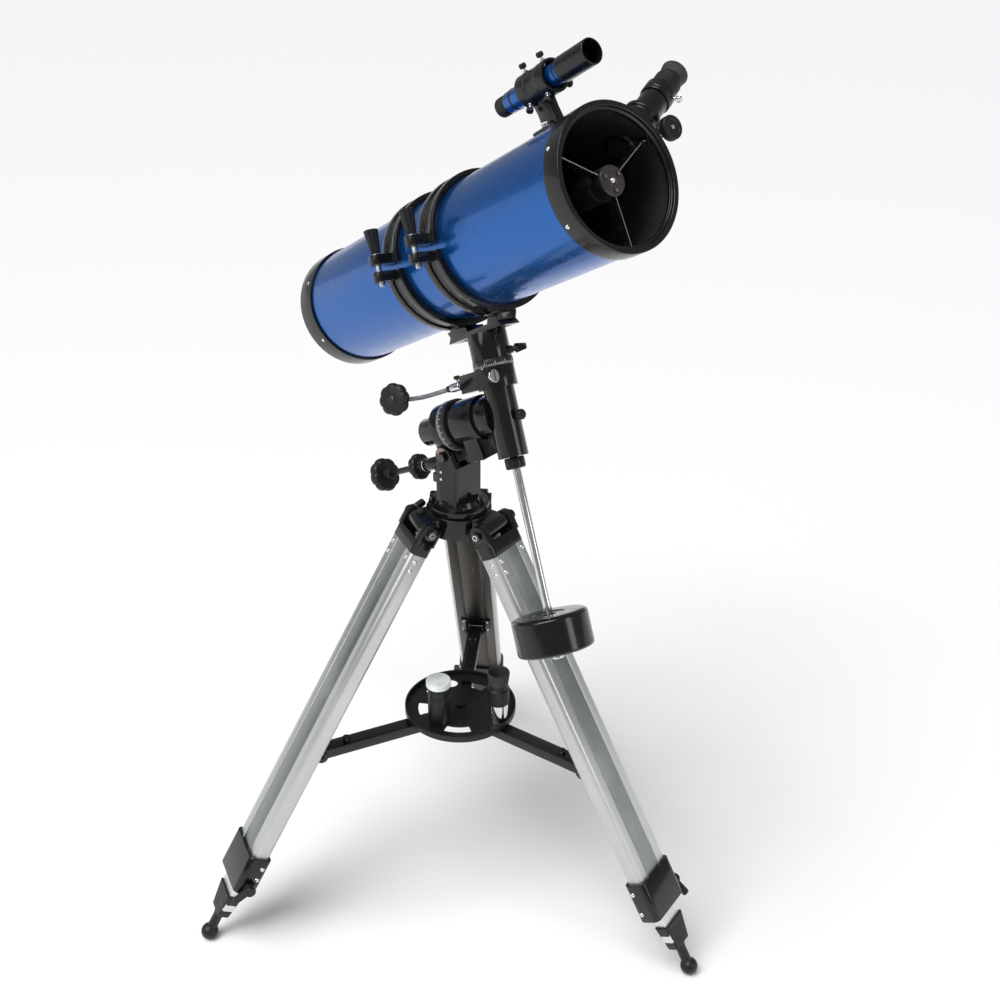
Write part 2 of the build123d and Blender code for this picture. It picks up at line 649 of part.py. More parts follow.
def spider():
    """Hub on three thin vanes, with its adjusting screws and the secondary mirror's stalk."""
    hub = fillet(rod(19.5, HUB_Z - 16, HUB_Z).edges().sort_by(Axis.Z)[-1], 1.5)
    for k in range(3):
        hub += Rot(0, 0, VANE_ANGLE + 120 * k) * block(15, TUBE_R - TUBE_WALL - 0.1, -0.7, 0.7, HUB_Z - 20, HUB_Z - 1)
        hub += Rot(0, 0, VANE_ANGLE + 120 * k) * Pos(12.5, 0, 0) * rod(2.2, HUB_Z - 1, HUB_Z + 2)
    hub += rod(3.5, HUB_Z - 1, HUB_Z + 2)
    hub -= rod(4 + FIT, HUB_Z - 20, HUB_Z - 6)
    return hub


def secondary_mirror():
    """Flat elliptical mirror on a slanted cylinder, facing the focuser."""
    stalk = rod(4, FOCUSER_Z + 20, HUB_Z - 7)
    holder = rod(20, FOCUSER_Z - 21, FOCUSER_Z + 28)
    cut = Pos(0, 0, FOCUSER_Z) * Rot(0, -45, 0) * block(-200, 200, -200, 200, -400, 0)
    holder = holder - cut
    return Rot(0, 0, FOCUSER_ANGLE) * (stalk + holder)


FOCUSER_BORE = 19.4
PINION_X = 140.0         # from the tube axis
PINION_Y = -26.0         # beside the drawtube's axis


def focuser_base():
    """Saddle on the tube, the body that guides the drawtube, and the pinion's bearing."""
    foot = block(86, 98, -26, 26, -27, 27) - Pos(0, 0, -200) * rod(TUBE_R + 0.05, 0, 400)
    body = along_x(taper(25, 23, 93, 147)) + along_x(rod(26, 146, 153))
    shape = foot + body
    shape += block(124, 152, -34, 0, -12, 12)
    shape -= along_x(rod(FOCUSER_BORE, 60, 200))
    shape -= Pos(PINION_X, PINION_Y, 0) * rod(3.5 + FIT, -30, 30)
    return shape


def focuser_drawtube():
    """Sliding tube with the eyepiece holder and its two clamp screws."""
    tube = along_x(rod(FOCUSER_BORE - FIT, 84, 186)) + along_x(rod(21.5, 186, 206))
    tube -= along_x(rod(15.9 + FIT, 70, 210))
    for angle in (35, 155):
        screw = rod(1.8, 19, 30) + rod(4.6, 27, 33)
        tube += Pos(196, 0, 0) * Rot(angle, 0, 0) * screw
    return tube


def focuser_knobs():
    """Pinion shaft with a wheel at each end."""
    shaft = rod(3.5, -34, 34)
    wheels = lobed_knob(16, 12, 31, 44) + lobed_knob(16, 12, -44, -31)
    return Pos(PINION_X, PINION_Y, 0) * (shaft + wheels)


def eyepiece():
    shape = rod(15.9, 182, 206.3) + rod(18.5, 206.3, 227) + rod(16.5, 227, 236) + taper(16.5, 19, 236, 248)
    shape -= taper(10, 15.5, 238, 249)
    shape -= rod(12.5, 180, 202)
    return along_x(shape)


FINDER_R = 14.0


def finder_tube():
    """Finder scope: dew shield, tube and eyepiece end on one axis."""
    shape = rod(FINDER_R, FINDER_REAR + 20, FINDER_FRONT - 40)
    shape += rod(16.2, FINDER_FRONT - 56, FINDER_FRONT)
    shape += rod(11.5, FINDER_REAR + 10, FINDER_REAR + 30) + rod(13, FINDER_REAR, FINDER_REAR + 16)
    shape -= rod(14.6, FINDER_FRONT - 34, FINDER_FRONT + 1)
    shape -= rod(5, FINDER_REAR - 1, FINDER_REAR + 6)
    return Pos(FINDER_OFFSET, 0, 0) * shape


BRACKET_Z0 = 221.0
BRACKET_Z1 = 277.0


def finder_bracket():
    """Ring around the finder with six aiming screws, a stem and a foot on the tube."""
    ring = Pos(FINDER_OFFSET, 0, 0) * pipe(21.5, 18, BRACKET_Z0, BRACKET_Z1)
    outline = Polyline((91.5, 235), (FINDER_OFFSET - 19, 229), (FINDER_OFFSET - 19, 259), (91.5, 265), close=True)
    stem = Pos(0, -7, 0) * extrude(Plane.XZ * make_face(outline), 14, dir=(0, 1, 0))
    foot = block(86, 94, -13, 13, 229, 271) - rod(TUBE_R + 0.05, 0, 400)
    bracket = ring + stem + foot
    for z in (BRACKET_Z0 + 10, BRACKET_Z1 - 10):
        for angle in (10, 150, -110):
            screw = rod(1.8, FINDER_R + 1.0, 30) + rod(4.6, 27, 33)
            bracket += Pos(FINDER_OFFSET, 0, z) * Rot(0, 0, angle) * along_x(screw)
    for y in (-17, 17):
        nut = rod(2, 88, 99) + rod(4.6, 94, 101)
        nut = Pos(0, y, 250) * along_x(nut) - rod(TUBE_R + 0.05, 0, 400)
        bracket += nut
    bracket += block(91, 95, -21, 21, 244, 256) - rod(TUBE_R + 0.05, 0, 400)
    return bracket


# ---- assembly ----
HERE = Location()

add("tripod_head", HERE, tripod_head())
for name, azimuth in LEG_AZIMUTHS.items():
    frame = leg_frame(azimuth)
    add(f"leg_{name}_hinge_bolt", Rot(0, 0, azimuth) * Pos(PIN_R, 0, PIN_Z), hinge_bolt(-1 if name == "left" else 1))
    add(f"leg_{name}_channel", frame, leg_channel())
    add(f"leg_{name}_castings", frame, *leg_castings())
    add(f"leg_{name}_extension", frame, leg_extension())
    floor = block(-2000, 2000, -2000, 2000, -200, 0)
    foot = leg_foot().moved(frame) - floor
    add(f"leg_{name}_foot", HERE, foot)
    add(f"leg_{name}_clamp_screw", frame, clamp_screw())
    add(f"spreader_arm_{name}", HERE, spreader_arm(azimuth)[0])
add("accessory_tray", HERE, accessory_tray())
add("spare_eyepiece", HERE, spare_eyepiece())
add("barlow_lens", HERE, barlow_lens())

base = azimuth_base()
add("azimuth_base", HERE, base.moved(BASE) + screw_boss().moved(RA))
add("mount_bolts", BASE, *mount_bolts())
add("latitude_screw", RA, latitude_screw())
add("latitude_lock_knob", RA, latitude_lock_knob())
add("ra_housing", RA, ra_housing())
add("ra_worm", RA, ra_worm())
add("ra_setting_circle", RA, ra_setting_circle())
add("dec_housing", DEC_BODY, *dec_housing())
add("dec_head", DEC_HEAD, dec_head())
add("dec_setting_circle", DEC_HEAD, dec_setting_circle())
add("dec_lock_lever", DEC_HEAD, dec_lock_lever())
add("ra_lock_knob", DEC_BODY, ra_lock_knob())
add("dec_worm", DEC_BODY, dec_worm())
add("dec_cable", DEC_BODY, dec_cable())
add("dec_knob", DEC_BODY * cable_end(), dec_knob())
add("counterweight_shaft", DEC_BODY, counterweight_shaft())
add("counterweight", DEC_BODY, counterweight())

add("saddle_plate", OTA, saddle_plate())
add("ring_lower_halves", OTA, ring_lower(RING_CENTRES["rear"]), ring_lower(RING_CENTRES["front"]))
for name, z in RING_CENTRES.items():
    add(f"ring_upper_{name}", OTA, ring_upper(z))
    add(f"ring_knob_{name}", OTA, ring_knob(z))
add("main_tube", OTA, main_tube())
add("front_ring", OTA, front_ring())
add("rear_cell", OTA, rear_cell())
add("primary_mirror", OTA, mirror_glass(), mirror_support())
add("spider", OTA, spider())
add("secondary_mirror", OTA, secondary_mirror())
FOCUSER = about_tube(FOCUSER_ANGLE, FOCUSER_Z)
add("focuser_base", FOCUSER, focuser_base())
add("focuser_drawtube", FOCUSER, focuser_drawtube())
add("focuser_knobs", FOCUSER, focuser_knobs())
add("eyepiece", FOCUSER, eyepiece())
FINDER = about_tube(FINDER_ANGLE, 0)
add("finder_tube", FINDER, finder_tube())
add("finder_bracket", FINDER, finder_bracket())

for node, solids in NODES.items():
    shape = solids[0] if len(solids) == 1 else Compound(solids)
    export_step(shape, f"parts/{node}.step")
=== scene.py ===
import math

import bpy
from mathutils import Matrix, Vector


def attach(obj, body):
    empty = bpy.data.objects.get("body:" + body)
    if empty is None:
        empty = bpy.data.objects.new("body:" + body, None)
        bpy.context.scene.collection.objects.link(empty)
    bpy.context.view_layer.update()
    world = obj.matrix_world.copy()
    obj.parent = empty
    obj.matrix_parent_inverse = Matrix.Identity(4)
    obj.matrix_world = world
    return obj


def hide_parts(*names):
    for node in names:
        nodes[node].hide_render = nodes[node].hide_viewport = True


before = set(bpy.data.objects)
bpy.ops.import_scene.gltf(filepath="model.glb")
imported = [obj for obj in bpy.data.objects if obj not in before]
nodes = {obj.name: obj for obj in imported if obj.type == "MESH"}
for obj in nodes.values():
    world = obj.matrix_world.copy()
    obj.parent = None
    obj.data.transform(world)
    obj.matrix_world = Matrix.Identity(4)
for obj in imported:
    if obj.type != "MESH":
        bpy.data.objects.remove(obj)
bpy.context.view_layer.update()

# ---------------------------------------------------------------- sizes in millimetres, angles in degrees
MM = 0.001

# the pose of the mount and the distances between the centres of its axes
LATITUDE, AZIMUTH, HOUR_ANGLE, DECLINATION = 26.8, -34.3, 10.84, 10.52
CENTRE_Z, RA_TO_DEC, DEC_TO_TUBE = 841.7, 96.3, 232.9

# the tube, its end rings and what sits on it
TUBE_R, TUBE_INNER_R, TUBE_FRONT, TUBE_REAR = 90.0, 88.8, 335.0, -354.6
END_RING_R, END_SCREW_R, END_SCREW_START = 93.3, 92.8, 62
RING_CENTRES = {"rear": -53.0, "front": 46.5}
FOCUSER_Z, FOCUSER_ANGLE = 270.0, -52.5
PINION_Y, PINION_Z = 26, 140
FINDER_ANGLE, FINDER_OFFSET = 6.0, 146.0

# the mount's controls
WORM_Y, WORM_Z = -25.5, 51.5
CABLE_TIP, CABLE_BEFORE = Vector((-112, -88, 51.5)), Vector((-119, -65, 50))
LATITUDE_ROD_Y = -48
LOBES, LOBE_DEPTH = 8, 0.11

# the tripod: places along a leg are measured down from its hinge pin
LEG_AZIMUTHS = {"left": 210.0, "right": 330.0, "back": 90.0}
LEG_SPLAY, LEG_PIN_R, LEG_PIN_Z = 30, 61.6, 689.5
LEG_BRACKET, LEG_CLAMP = 416, 655
TRAY_FLOOR_Z = 328.75

# ---------------------------------------------------------------- frames of the mount


def direction(azimuth, elevation):
    a, b = math.radians(azimuth), math.radians(elevation)
    return Vector((math.cos(a) * math.cos(b), math.sin(a) * math.cos(b), math.sin(b)))


UP = Vector((0, 0, 1))
HORIZONTAL = direction(AZIMUTH, 0)
POLAR = direction(AZIMUTH, LATITUDE)
EAST = UP.cross(POLAR).normalized()
ABOVE = POLAR.cross(EAST)
hour = math.radians(HOUR_ANGLE)
DEC = ABOVE * math.cos(hour) + EAST * math.sin(hour)
tilt = math.radians(DECLINATION)
TUBE = POLAR * math.cos(tilt) + POLAR.cross(DEC) * math.sin(tilt)
CENTRE = Vector((0, 0, CENTRE_Z))
DEC_CENTRE = CENTRE + POLAR * RA_TO_DEC
TUBE_CENTRE = DEC_CENTRE + DEC * DEC_TO_TUBE


def placed(origin, x_dir, z_dir):
    """A matrix from a local frame in millimetres to the object's frame in metres."""
    z = z_dir.normalized()
    x = (x_dir - z * x_dir.dot(z)).normalized()
    y = z.cross(x)
    m = Matrix.Identity(4)
    for i in range(3):
        m[i][0], m[i][1], m[i][2], m[i][3] = x[i] * MM, y[i] * MM, z[i] * MM, origin[i] * MM
    return m


HERE = placed(Vector((0, 0, 0)), Vector((1, 0, 0)), UP)
BASE = placed(Vector((0, 0, 0)), HORIZONTAL, UP)
RA = placed(CENTRE, EAST, POLAR)
DECB = placed(DEC_CENTRE, POLAR, DEC)
HEAD = placed(DEC_CENTRE, TUBE, DEC)
OTA = placed(TUBE_CENTRE, DEC, TUBE)


def leg_axes(azimuth):
    """The hinge pin's place, the way the leg's outer face looks and the way up along the leg."""
    out = direction(azimuth, 0)
    splay = math.radians(LEG_SPLAY)
    up_leg = UP * math.cos(splay) - out * math.sin(splay)
    face = out * math.cos(splay) + UP * math.sin(splay)
    return out * LEG_PIN_R + UP * LEG_PIN_Z, face, up_leg


def from_tube(angle):
    """A direction square to the tube, turned about it from the declination axis."""
    a = math.radians(angle)
    return DEC * math.cos(a) + TUBE.cross(DEC) * math.sin(a)


def move(x, y, z):
    return Matrix.Translation((x, y, z))


def turn(angle, axis):
    return Matrix.Rotation(math.radians(angle), 4, axis)


# turn a shape that is built along z to lie along +x or +y
TO_X = turn(90, "Y")
TO_Y = turn(-90, "X")

# ---------------------------------------------------------------- materials


class Nodes:
    """A short way to write a shader's nodes."""

    def __init__(self, name):
        self.material = bpy.data.materials.new(name)
        self.material.use_nodes = True
        self.tree = self.material.node_tree
        self.shader = self.tree.nodes["Principled BSDF"]
        self.coords = self.new("ShaderNodeTexCoord").outputs["Object"]

    def new(self, kind, **settings):
        node = self.tree.nodes.new(kind)
        for key, value in settings.items():
            setattr(node, key, value)
        return node

    def put(self, socket, value):
        if hasattr(value, "is_output"):
            self.tree.links.new(value, socket)
        else:
            socket.default_value = value

    def maths(self, operation, a, b=0.0):
        node = self.new("ShaderNodeMath", operation=operation)
        for socket, value in zip(node.inputs, (a, b)):
            self.put(socket, value)
        return node.outputs[0]

    def dot(self, a, b):
        node = self.new("ShaderNodeVectorMath", operation="DOT_PRODUCT")
        self.put(node.inputs[0], a)
        self.put(node.inputs[1], b)
        return node.outputs["Value"]

    def local(self, matrix):
        """Coordinates along a local frame's axes, in metres."""
        offset = self.new("ShaderNodeVectorMath", operation="SUBTRACT")
        self.put(offset.inputs[0], self.coords)
        self.put(offset.inputs[1], matrix.to_translation())
        axes = [matrix.col[i].to_3d().normalized() for i in range(3)]
        return [self.dot(offset.outputs[0], axis) for axis in axes]

    def vector(self, x, y, z):
        node = self.new("ShaderNodeCombineXYZ")
        for socket, value in zip(node.inputs, (x, y, z)):
            self.put(socket, value)
        return node.outputs[0]

    def noise(self, scale, detail=4.0, vector=None, rough=0.55):
        node = self.new("ShaderNodeTexNoise")
        self.put(node.inputs["Vector"], vector or self.coords)
        node.inputs["Scale"].default_value = scale
        node.inputs["Detail"].default_value = detail
        node.inputs["Roughness"].default_value = rough
        return node.outputs["Fac"]

    def cells(self, scale):
        node = self.new("ShaderNodeTexVoronoi", feature="SMOOTH_F1")
        self.put(node.inputs["Vector"], self.coords)
        node.inputs["Scale"].default_value = scale
        return node.outputs["Distance"]

    def ramp(self, value, low, high, to_low=0.0, to_high=1.0):
        node = self.new("ShaderNodeMapRange")
        self.put(node.inputs["Value"], value)
        for name, number in (("From Min", low), ("From Max", high), ("To Min", to_low), ("To Max", to_high)):
            node.inputs[name].default_value = number
        return node.outputs["Result"]

    def mix(self, factor, a, b):
        node = self.new("ShaderNodeMix", data_type="RGBA")
        self.put(node.inputs["Factor"], factor)
        self.put(node.inputs[6], a if hasattr(a, "is_output") else (*a, 1.0))
        self.put(node.inputs[7], b if hasattr(b, "is_output") else (*b, 1.0))
        return node.outputs[2]

    def bump(self, height, strength, distance=0.001):
        node = self.new("ShaderNodeBump")
        node.inputs["Strength"].default_value = strength
        node.inputs["Distance"].default_value = distance
        self.put(node.inputs["Height"], height)
        return node.outputs["Normal"]

    def stretched(self, axes, scales, detail, rough=0.55):
        """Noise with a scale of its own along each axis of a local frame."""
        return self.noise(1.0, detail, self.vector(*[self.maths("MULTIPLY", axis, scale)
                                                     for axis, scale in zip(axes, scales)]), rough)

    def edges(self, low=0.52, high=0.62):
        return self.ramp(self.new("ShaderNodeNewGeometry").outputs["Pointiness"], low, high)

    def finish(self, color, rough, normal=None, metallic=0.0, **fixed):
        self.put(self.shader.inputs["Base Color"], color)
        self.put(self.shader.inputs["Roughness"], rough)
        if normal is not None:
            self.put(self.shader.inputs["Normal"], normal)
        self.put(self.shader.inputs["Metallic"], metallic)
        for name, value in fixed.items():
            self.shader.inputs[name.replace("_", " ")].default_value = value
        return self.material


def enamel(name, color, wear, rough=(0.10, 0.24), grain=620, depth=0.08):
    """Glossy enamel on a casting: fine orange peel, soft blotches, worn edges and a little dust."""
    n = Nodes(name)
    blotch = n.noise(14, 5)
    dust = n.ramp(n.noise(55, 8, rough=0.7), 0.5, 0.8)
    base = n.mix(n.ramp(blotch, 0.35, 0.65), color, [c * 1.7 + 0.001 for c in color])
    base = n.mix(n.maths("MULTIPLY", dust, 0.02), base, (0.16, 0.155, 0.15))
    worn = n.maths("MULTIPLY", n.edges(0.56, 0.72), n.ramp(n.noise(160, 6), 0.46, 0.6))
    base = n.mix(n.maths("MULTIPLY", worn, 0.035), base, wear)
    roughness = n.ramp(n.noise(48, 8), 0.3, 0.7, rough[0], rough[1])
    height = n.maths("ADD", n.cells(grain), n.maths("MULTIPLY", n.noise(grain * 2.4, 3), 0.5))
    return n.finish(base, roughness, n.bump(height, depth, 0.0004), Coat_Weight=0.35, Coat_Roughness=0.06,
                    Specular_IOR_Level=0.25)


def plastic(name, color, rough=(0.32, 0.52), grain=2600, depth=0.25):
    """Moulded plastic: fine spark-eroded grain, polished high spots and faint scuffs."""
    n = Nodes(name)
    scuffs = n.ramp(n.noise(95, 9, rough=0.75), 0.52, 0.72)
    base = n.mix(n.ramp(n.noise(26, 5), 0.3, 0.7), color, [c * 1.7 + 0.001 for c in color])
    base = n.mix(n.maths("MULTIPLY", scuffs, 0.05), base, (0.2, 0.2, 0.2))
    base = n.mix(n.maths("MULTIPLY", n.edges(), 0.05), base, (0.22, 0.22, 0.23))
    roughness = n.ramp(n.noise(70, 6), 0.3, 0.7, rough[0], rough[1])
    return n.finish(base, roughness, n.bump(n.noise(grain, 2), depth, 0.0002), Specular_IOR_Level=0.35)


def rubber(name):
    """Matt rubber with a fine grain."""
    n = Nodes(name)
    base = n.mix(n.ramp(n.noise(60, 7), 0.35, 0.7), (0.018, 0.018, 0.019), (0.05, 0.048, 0.046))
    return n.finish(base, n.ramp(n.noise(90, 5), 0.3, 0.7, 0.6, 0.85), n.bump(n.noise(1800, 4), 0.35, 0.0003))


def plating(name, color=(0.78, 0.79, 0.8), rough=(0.07, 0.24), matrix=None):
    """Bright plated or turned metal, with turning marks round its own axis where one is given."""
    n = Nodes(name)
    spots = n.ramp(n.noise(240, 8, rough=0.7), 0.55, 0.75)
    base = n.mix(n.ramp(n.noise(40, 5), 0.3, 0.7), color, [c * 0.8 for c in color])
    base = n.mix(n.maths("MULTIPLY", spots, 0.25), base, (0.3, 0.28, 0.26))
    roughness = n.ramp(n.noise(130, 7), 0.3, 0.75, rough[0], rough[1])
    if matrix is None:
        height = n.noise(900, 4)
    else:
        along = n.local(matrix)[2]
        height = n.noise(1.0, 3, n.vector(0.0, 0.0, n.maths("MULTIPLY", along, 5200.0)))
    return n.finish(base, roughness, n.bump(height, 0.12, 0.0002), 1.0)


def extrusion(name, matrix, band, side, rough, half_band, painted_shade_inner_face=None):
    """Extruded aluminium: streaks along it, a darker band between its grooves, brighter sides, and
    where one is given, painted shade: a dark colour on the face towards the tripod's axis, standing in for
    the shade that face is in."""
    n = Nodes(name)
    axes = n.local(matrix)
    x, y = axes[:2]
    streak = n.stretched(axes, (900.0, 900.0, 6.0), 4)
    blotch = n.noise(9, 5)
    inner = n.maths("LESS_THAN", n.maths("ABSOLUTE", y), half_band)
    base = n.mix(inner, side, band)
    base = n.mix(n.ramp(streak, 0.3, 0.7, 0.0, 0.35), base, (0.42, 0.43, 0.42))
    base = n.mix(n.ramp(blotch, 0.45, 0.75, 0.0, 0.22), base, (0.86, 0.87, 0.85))
    if painted_shade_inner_face:
        # painted shade: the face towards the tripod's axis takes a dark brownish colour that stands in for
        # the shade it is in
        base = n.mix(n.maths("MULTIPLY", n.maths("LESS_THAN", x, -0.0143), 0.93), base, painted_shade_inner_face)
    scratch = n.ramp(n.stretched(axes, (260.0, 260.0, 22.0), 9, 0.8), 0.6, 0.68)
    base = n.mix(n.maths("MULTIPLY", scratch, 0.4), base, (0.92, 0.92, 0.92))
    roughness = n.maths("ADD", n.ramp(streak, 0.3, 0.7, rough[0], rough[1]),
                        n.ramp(blotch, 0.4, 0.7, 0.0, 0.06))
    return n.finish(base, roughness, n.bump(streak, 0.22, 0.0003), 1.0)


def tube_paint(name, color, deep, matrix):
    """Metallic lacquer: fine flake, a clear coat, faint rolling marks and stray dust."""
    n = Nodes(name)
    flake = n.cells(2600)
    base = n.mix(n.ramp(flake, 0.1, 0.6), color, deep)
    base = n.mix(n.ramp(n.noise(7, 4), 0.35, 0.7, 0.0, 0.4), base, [c * 0.72 for c in color])
    dust = n.ramp(n.noise(120, 9, rough=0.78), 0.6, 0.74)
    base = n.mix(n.maths("MULTIPLY", dust, 0.05), base, (0.35, 0.45, 0.6))
    ripple = n.stretched(n.local(matrix), (16.0, 16.0, 30.0), 2)
    roughness = n.ramp(n.noise(60, 7), 0.3, 0.7, 0.22, 0.32)
    return n.finish(base, roughness, n.bump(ripple, 0.05, 0.002), 0.78, Coat_Weight=0.4, Coat_Roughness=0.05)


def dial(name, matrix, radius, low, high, divisions, long_every):
    """Black anodised ring with pale divisions engraved round its rim, between two heights in millimetres."""
    n = Nodes(name)
    x, y, z = n.local(matrix)
    angle = n.maths("ARCTAN2", y, x)

    def lines(count, half_width):
        part = n.maths("MULTIPLY", angle, count / (2 * math.pi))
        near = n.maths("ABSOLUTE", n.maths("SUBTRACT", n.maths("FRACT", n.maths("ADD", part, 1000.5)), 0.5))
        return n.maths("LESS_THAN", near, half_width)

    line = lines(divisions, 0.17)
    is_long = lines(divisions / long_every, 0.4 / long_every)
    height = high - low
    top = n.maths("ADD", (low + height * 0.35) * MM, n.maths("MULTIPLY", is_long, height * 0.3 * MM))
    inside = n.maths("MULTIPLY", n.maths("GREATER_THAN", z, low * MM), n.maths("LESS_THAN", z, top))
    radial = n.maths("SQRT", n.maths("ADD", n.maths("MULTIPLY", x, x), n.maths("MULTIPLY", y, y)))
    rim = n.maths("GREATER_THAN", radial, (radius - 0.6) * MM)
    mark = n.maths("MULTIPLY", n.maths("MULTIPLY", line, inside), rim)
    black = n.mix(n.ramp(n.noise(60, 6), 0.35, 0.7), (0.008, 0.008, 0.009), (0.02, 0.02, 0.021))
    base = n.mix(mark, black, (0.5, 0.5, 0.48))
    return n.finish(base, n.ramp(n.noise(110, 6), 0.3, 0.7, 0.22, 0.42),
                    n.bump(n.maths("SUBTRACT", n.noise(900, 3), mark), 0.25, 0.0003), 0.0)


def lens_glass(name):
    """Coated glass: dark, with a faint violet bloom."""
    n = Nodes(name)
    base = n.mix(n.ramp(n.noise(20, 3), 0.3, 0.7), (0.015, 0.012, 0.035), (0.03, 0.05, 0.06))
    return n.finish(base, n.ramp(n.noise(220, 8), 0.45, 0.8, 0.02, 0.08), n.bump(n.noise(30, 2), 0.02), 0.0,
                    Coat_Weight=1.0, Coat_Roughness=0.02)


def mirror_coating(name):
    """Aluminised glass with a few specks of dust."""
    n = Nodes(name)
    base = n.mix(n.ramp(n.noise(300, 8, rough=0.8), 0.6, 0.75, 0.0, 0.25), (0.86, 0.88, 0.9), (0.5, 0.5, 0.5))
    return n.finish(base, n.ramp(n.noise(80, 5), 0.3, 0.7, 0.02, 0.06), n.bump(n.noise(6, 1), 0.01), 1.0)


INK = (0.003, 0.003, 0.0034)
LACQUER, DEEP_LACQUER = (0.004, 0.15, 0.55), (0.002, 0.076, 0.31)
CAST = enamel("black_enamel", INK, (0.28, 0.28, 0.28))
TRIM = enamel("trim_enamel", INK, (0.22, 0.22, 0.22), (0.2, 0.36), 1500, 0.18)
WEIGHT = enamel("weight_enamel", INK, (0.18, 0.18, 0.18), (0.14, 0.3), 420, 0.3)
SHEET = enamel("sheet_enamel", (0.006, 0.006, 0.0065), (0.25, 0.25, 0.25), (0.26, 0.42), 1700, 0.15)
FLAT_BLACK = plastic("flat_black", (0.006, 0.006, 0.006), (0.55, 0.8), 1500, 0.2)
PLASTIC = plastic("moulded_black", (0.006, 0.006, 0.0065))
SOFT_BLACK = rubber("black_rubber")
CHROME = plating("chrome")
STEEL = plating("turned_steel", (0.62, 0.63, 0.64), (0.16, 0.32))
PALE_CAP = plastic("pale_cap", (0.60, 0.64, 0.61), (0.4, 0.6))
HUB_PAINT = enamel("hub_paint", (0.030, 0.024, 0.022), (0.2, 0.2, 0.2), rough=(0.3, 0.5))
GLASS = lens_glass("coated_glass")
MIRROR = mirror_coating("mirror_coating")
BLUE = tube_paint("tube_lacquer", LACQUER, DEEP_LACQUER, OTA)
FINDER_BLUE = tube_paint("finder_lacquer", LACQUER, DEEP_LACQUER, OTA)
SCALE_PLATE = plating("latitude_plate", (0.34, 0.26, 0.24), (0.35, 0.5))
DARK_STEEL = plating("blackened_steel", (0.10, 0.10, 0.105), (0.2, 0.4))

# ---------------------------------------------------------------- mesh building
SHARP_ANGLE = 38


def soften(points, radius, steps=4, closed=False):
    """Rounds the corners of a profile. An open profile keeps its two ends."""
    result = []
    count = len(points)
    for i, here in enumerate(points):
        if not closed and i in (0, count - 1):
            result.append(here)
            continue
        before, after = Vector(points[i - 1]), Vector(points[(i + 1) % count])
        corner = Vector(here)
        a, b = before - corner, after - corner
        cut = min(radius, a.length * 0.45, b.length * 0.45)
        if cut < 0.02:
            result.append(here)
            continue
        start, end = corner + a.normalized() * cut, corner + b.normalized() * cut
        for k in range(steps + 1):
            f = k / steps
            point = start * (1 - f) ** 2 + corner * 2 * f * (1 - f) + end * f ** 2
            result.append((point.x, point.y))
    return result


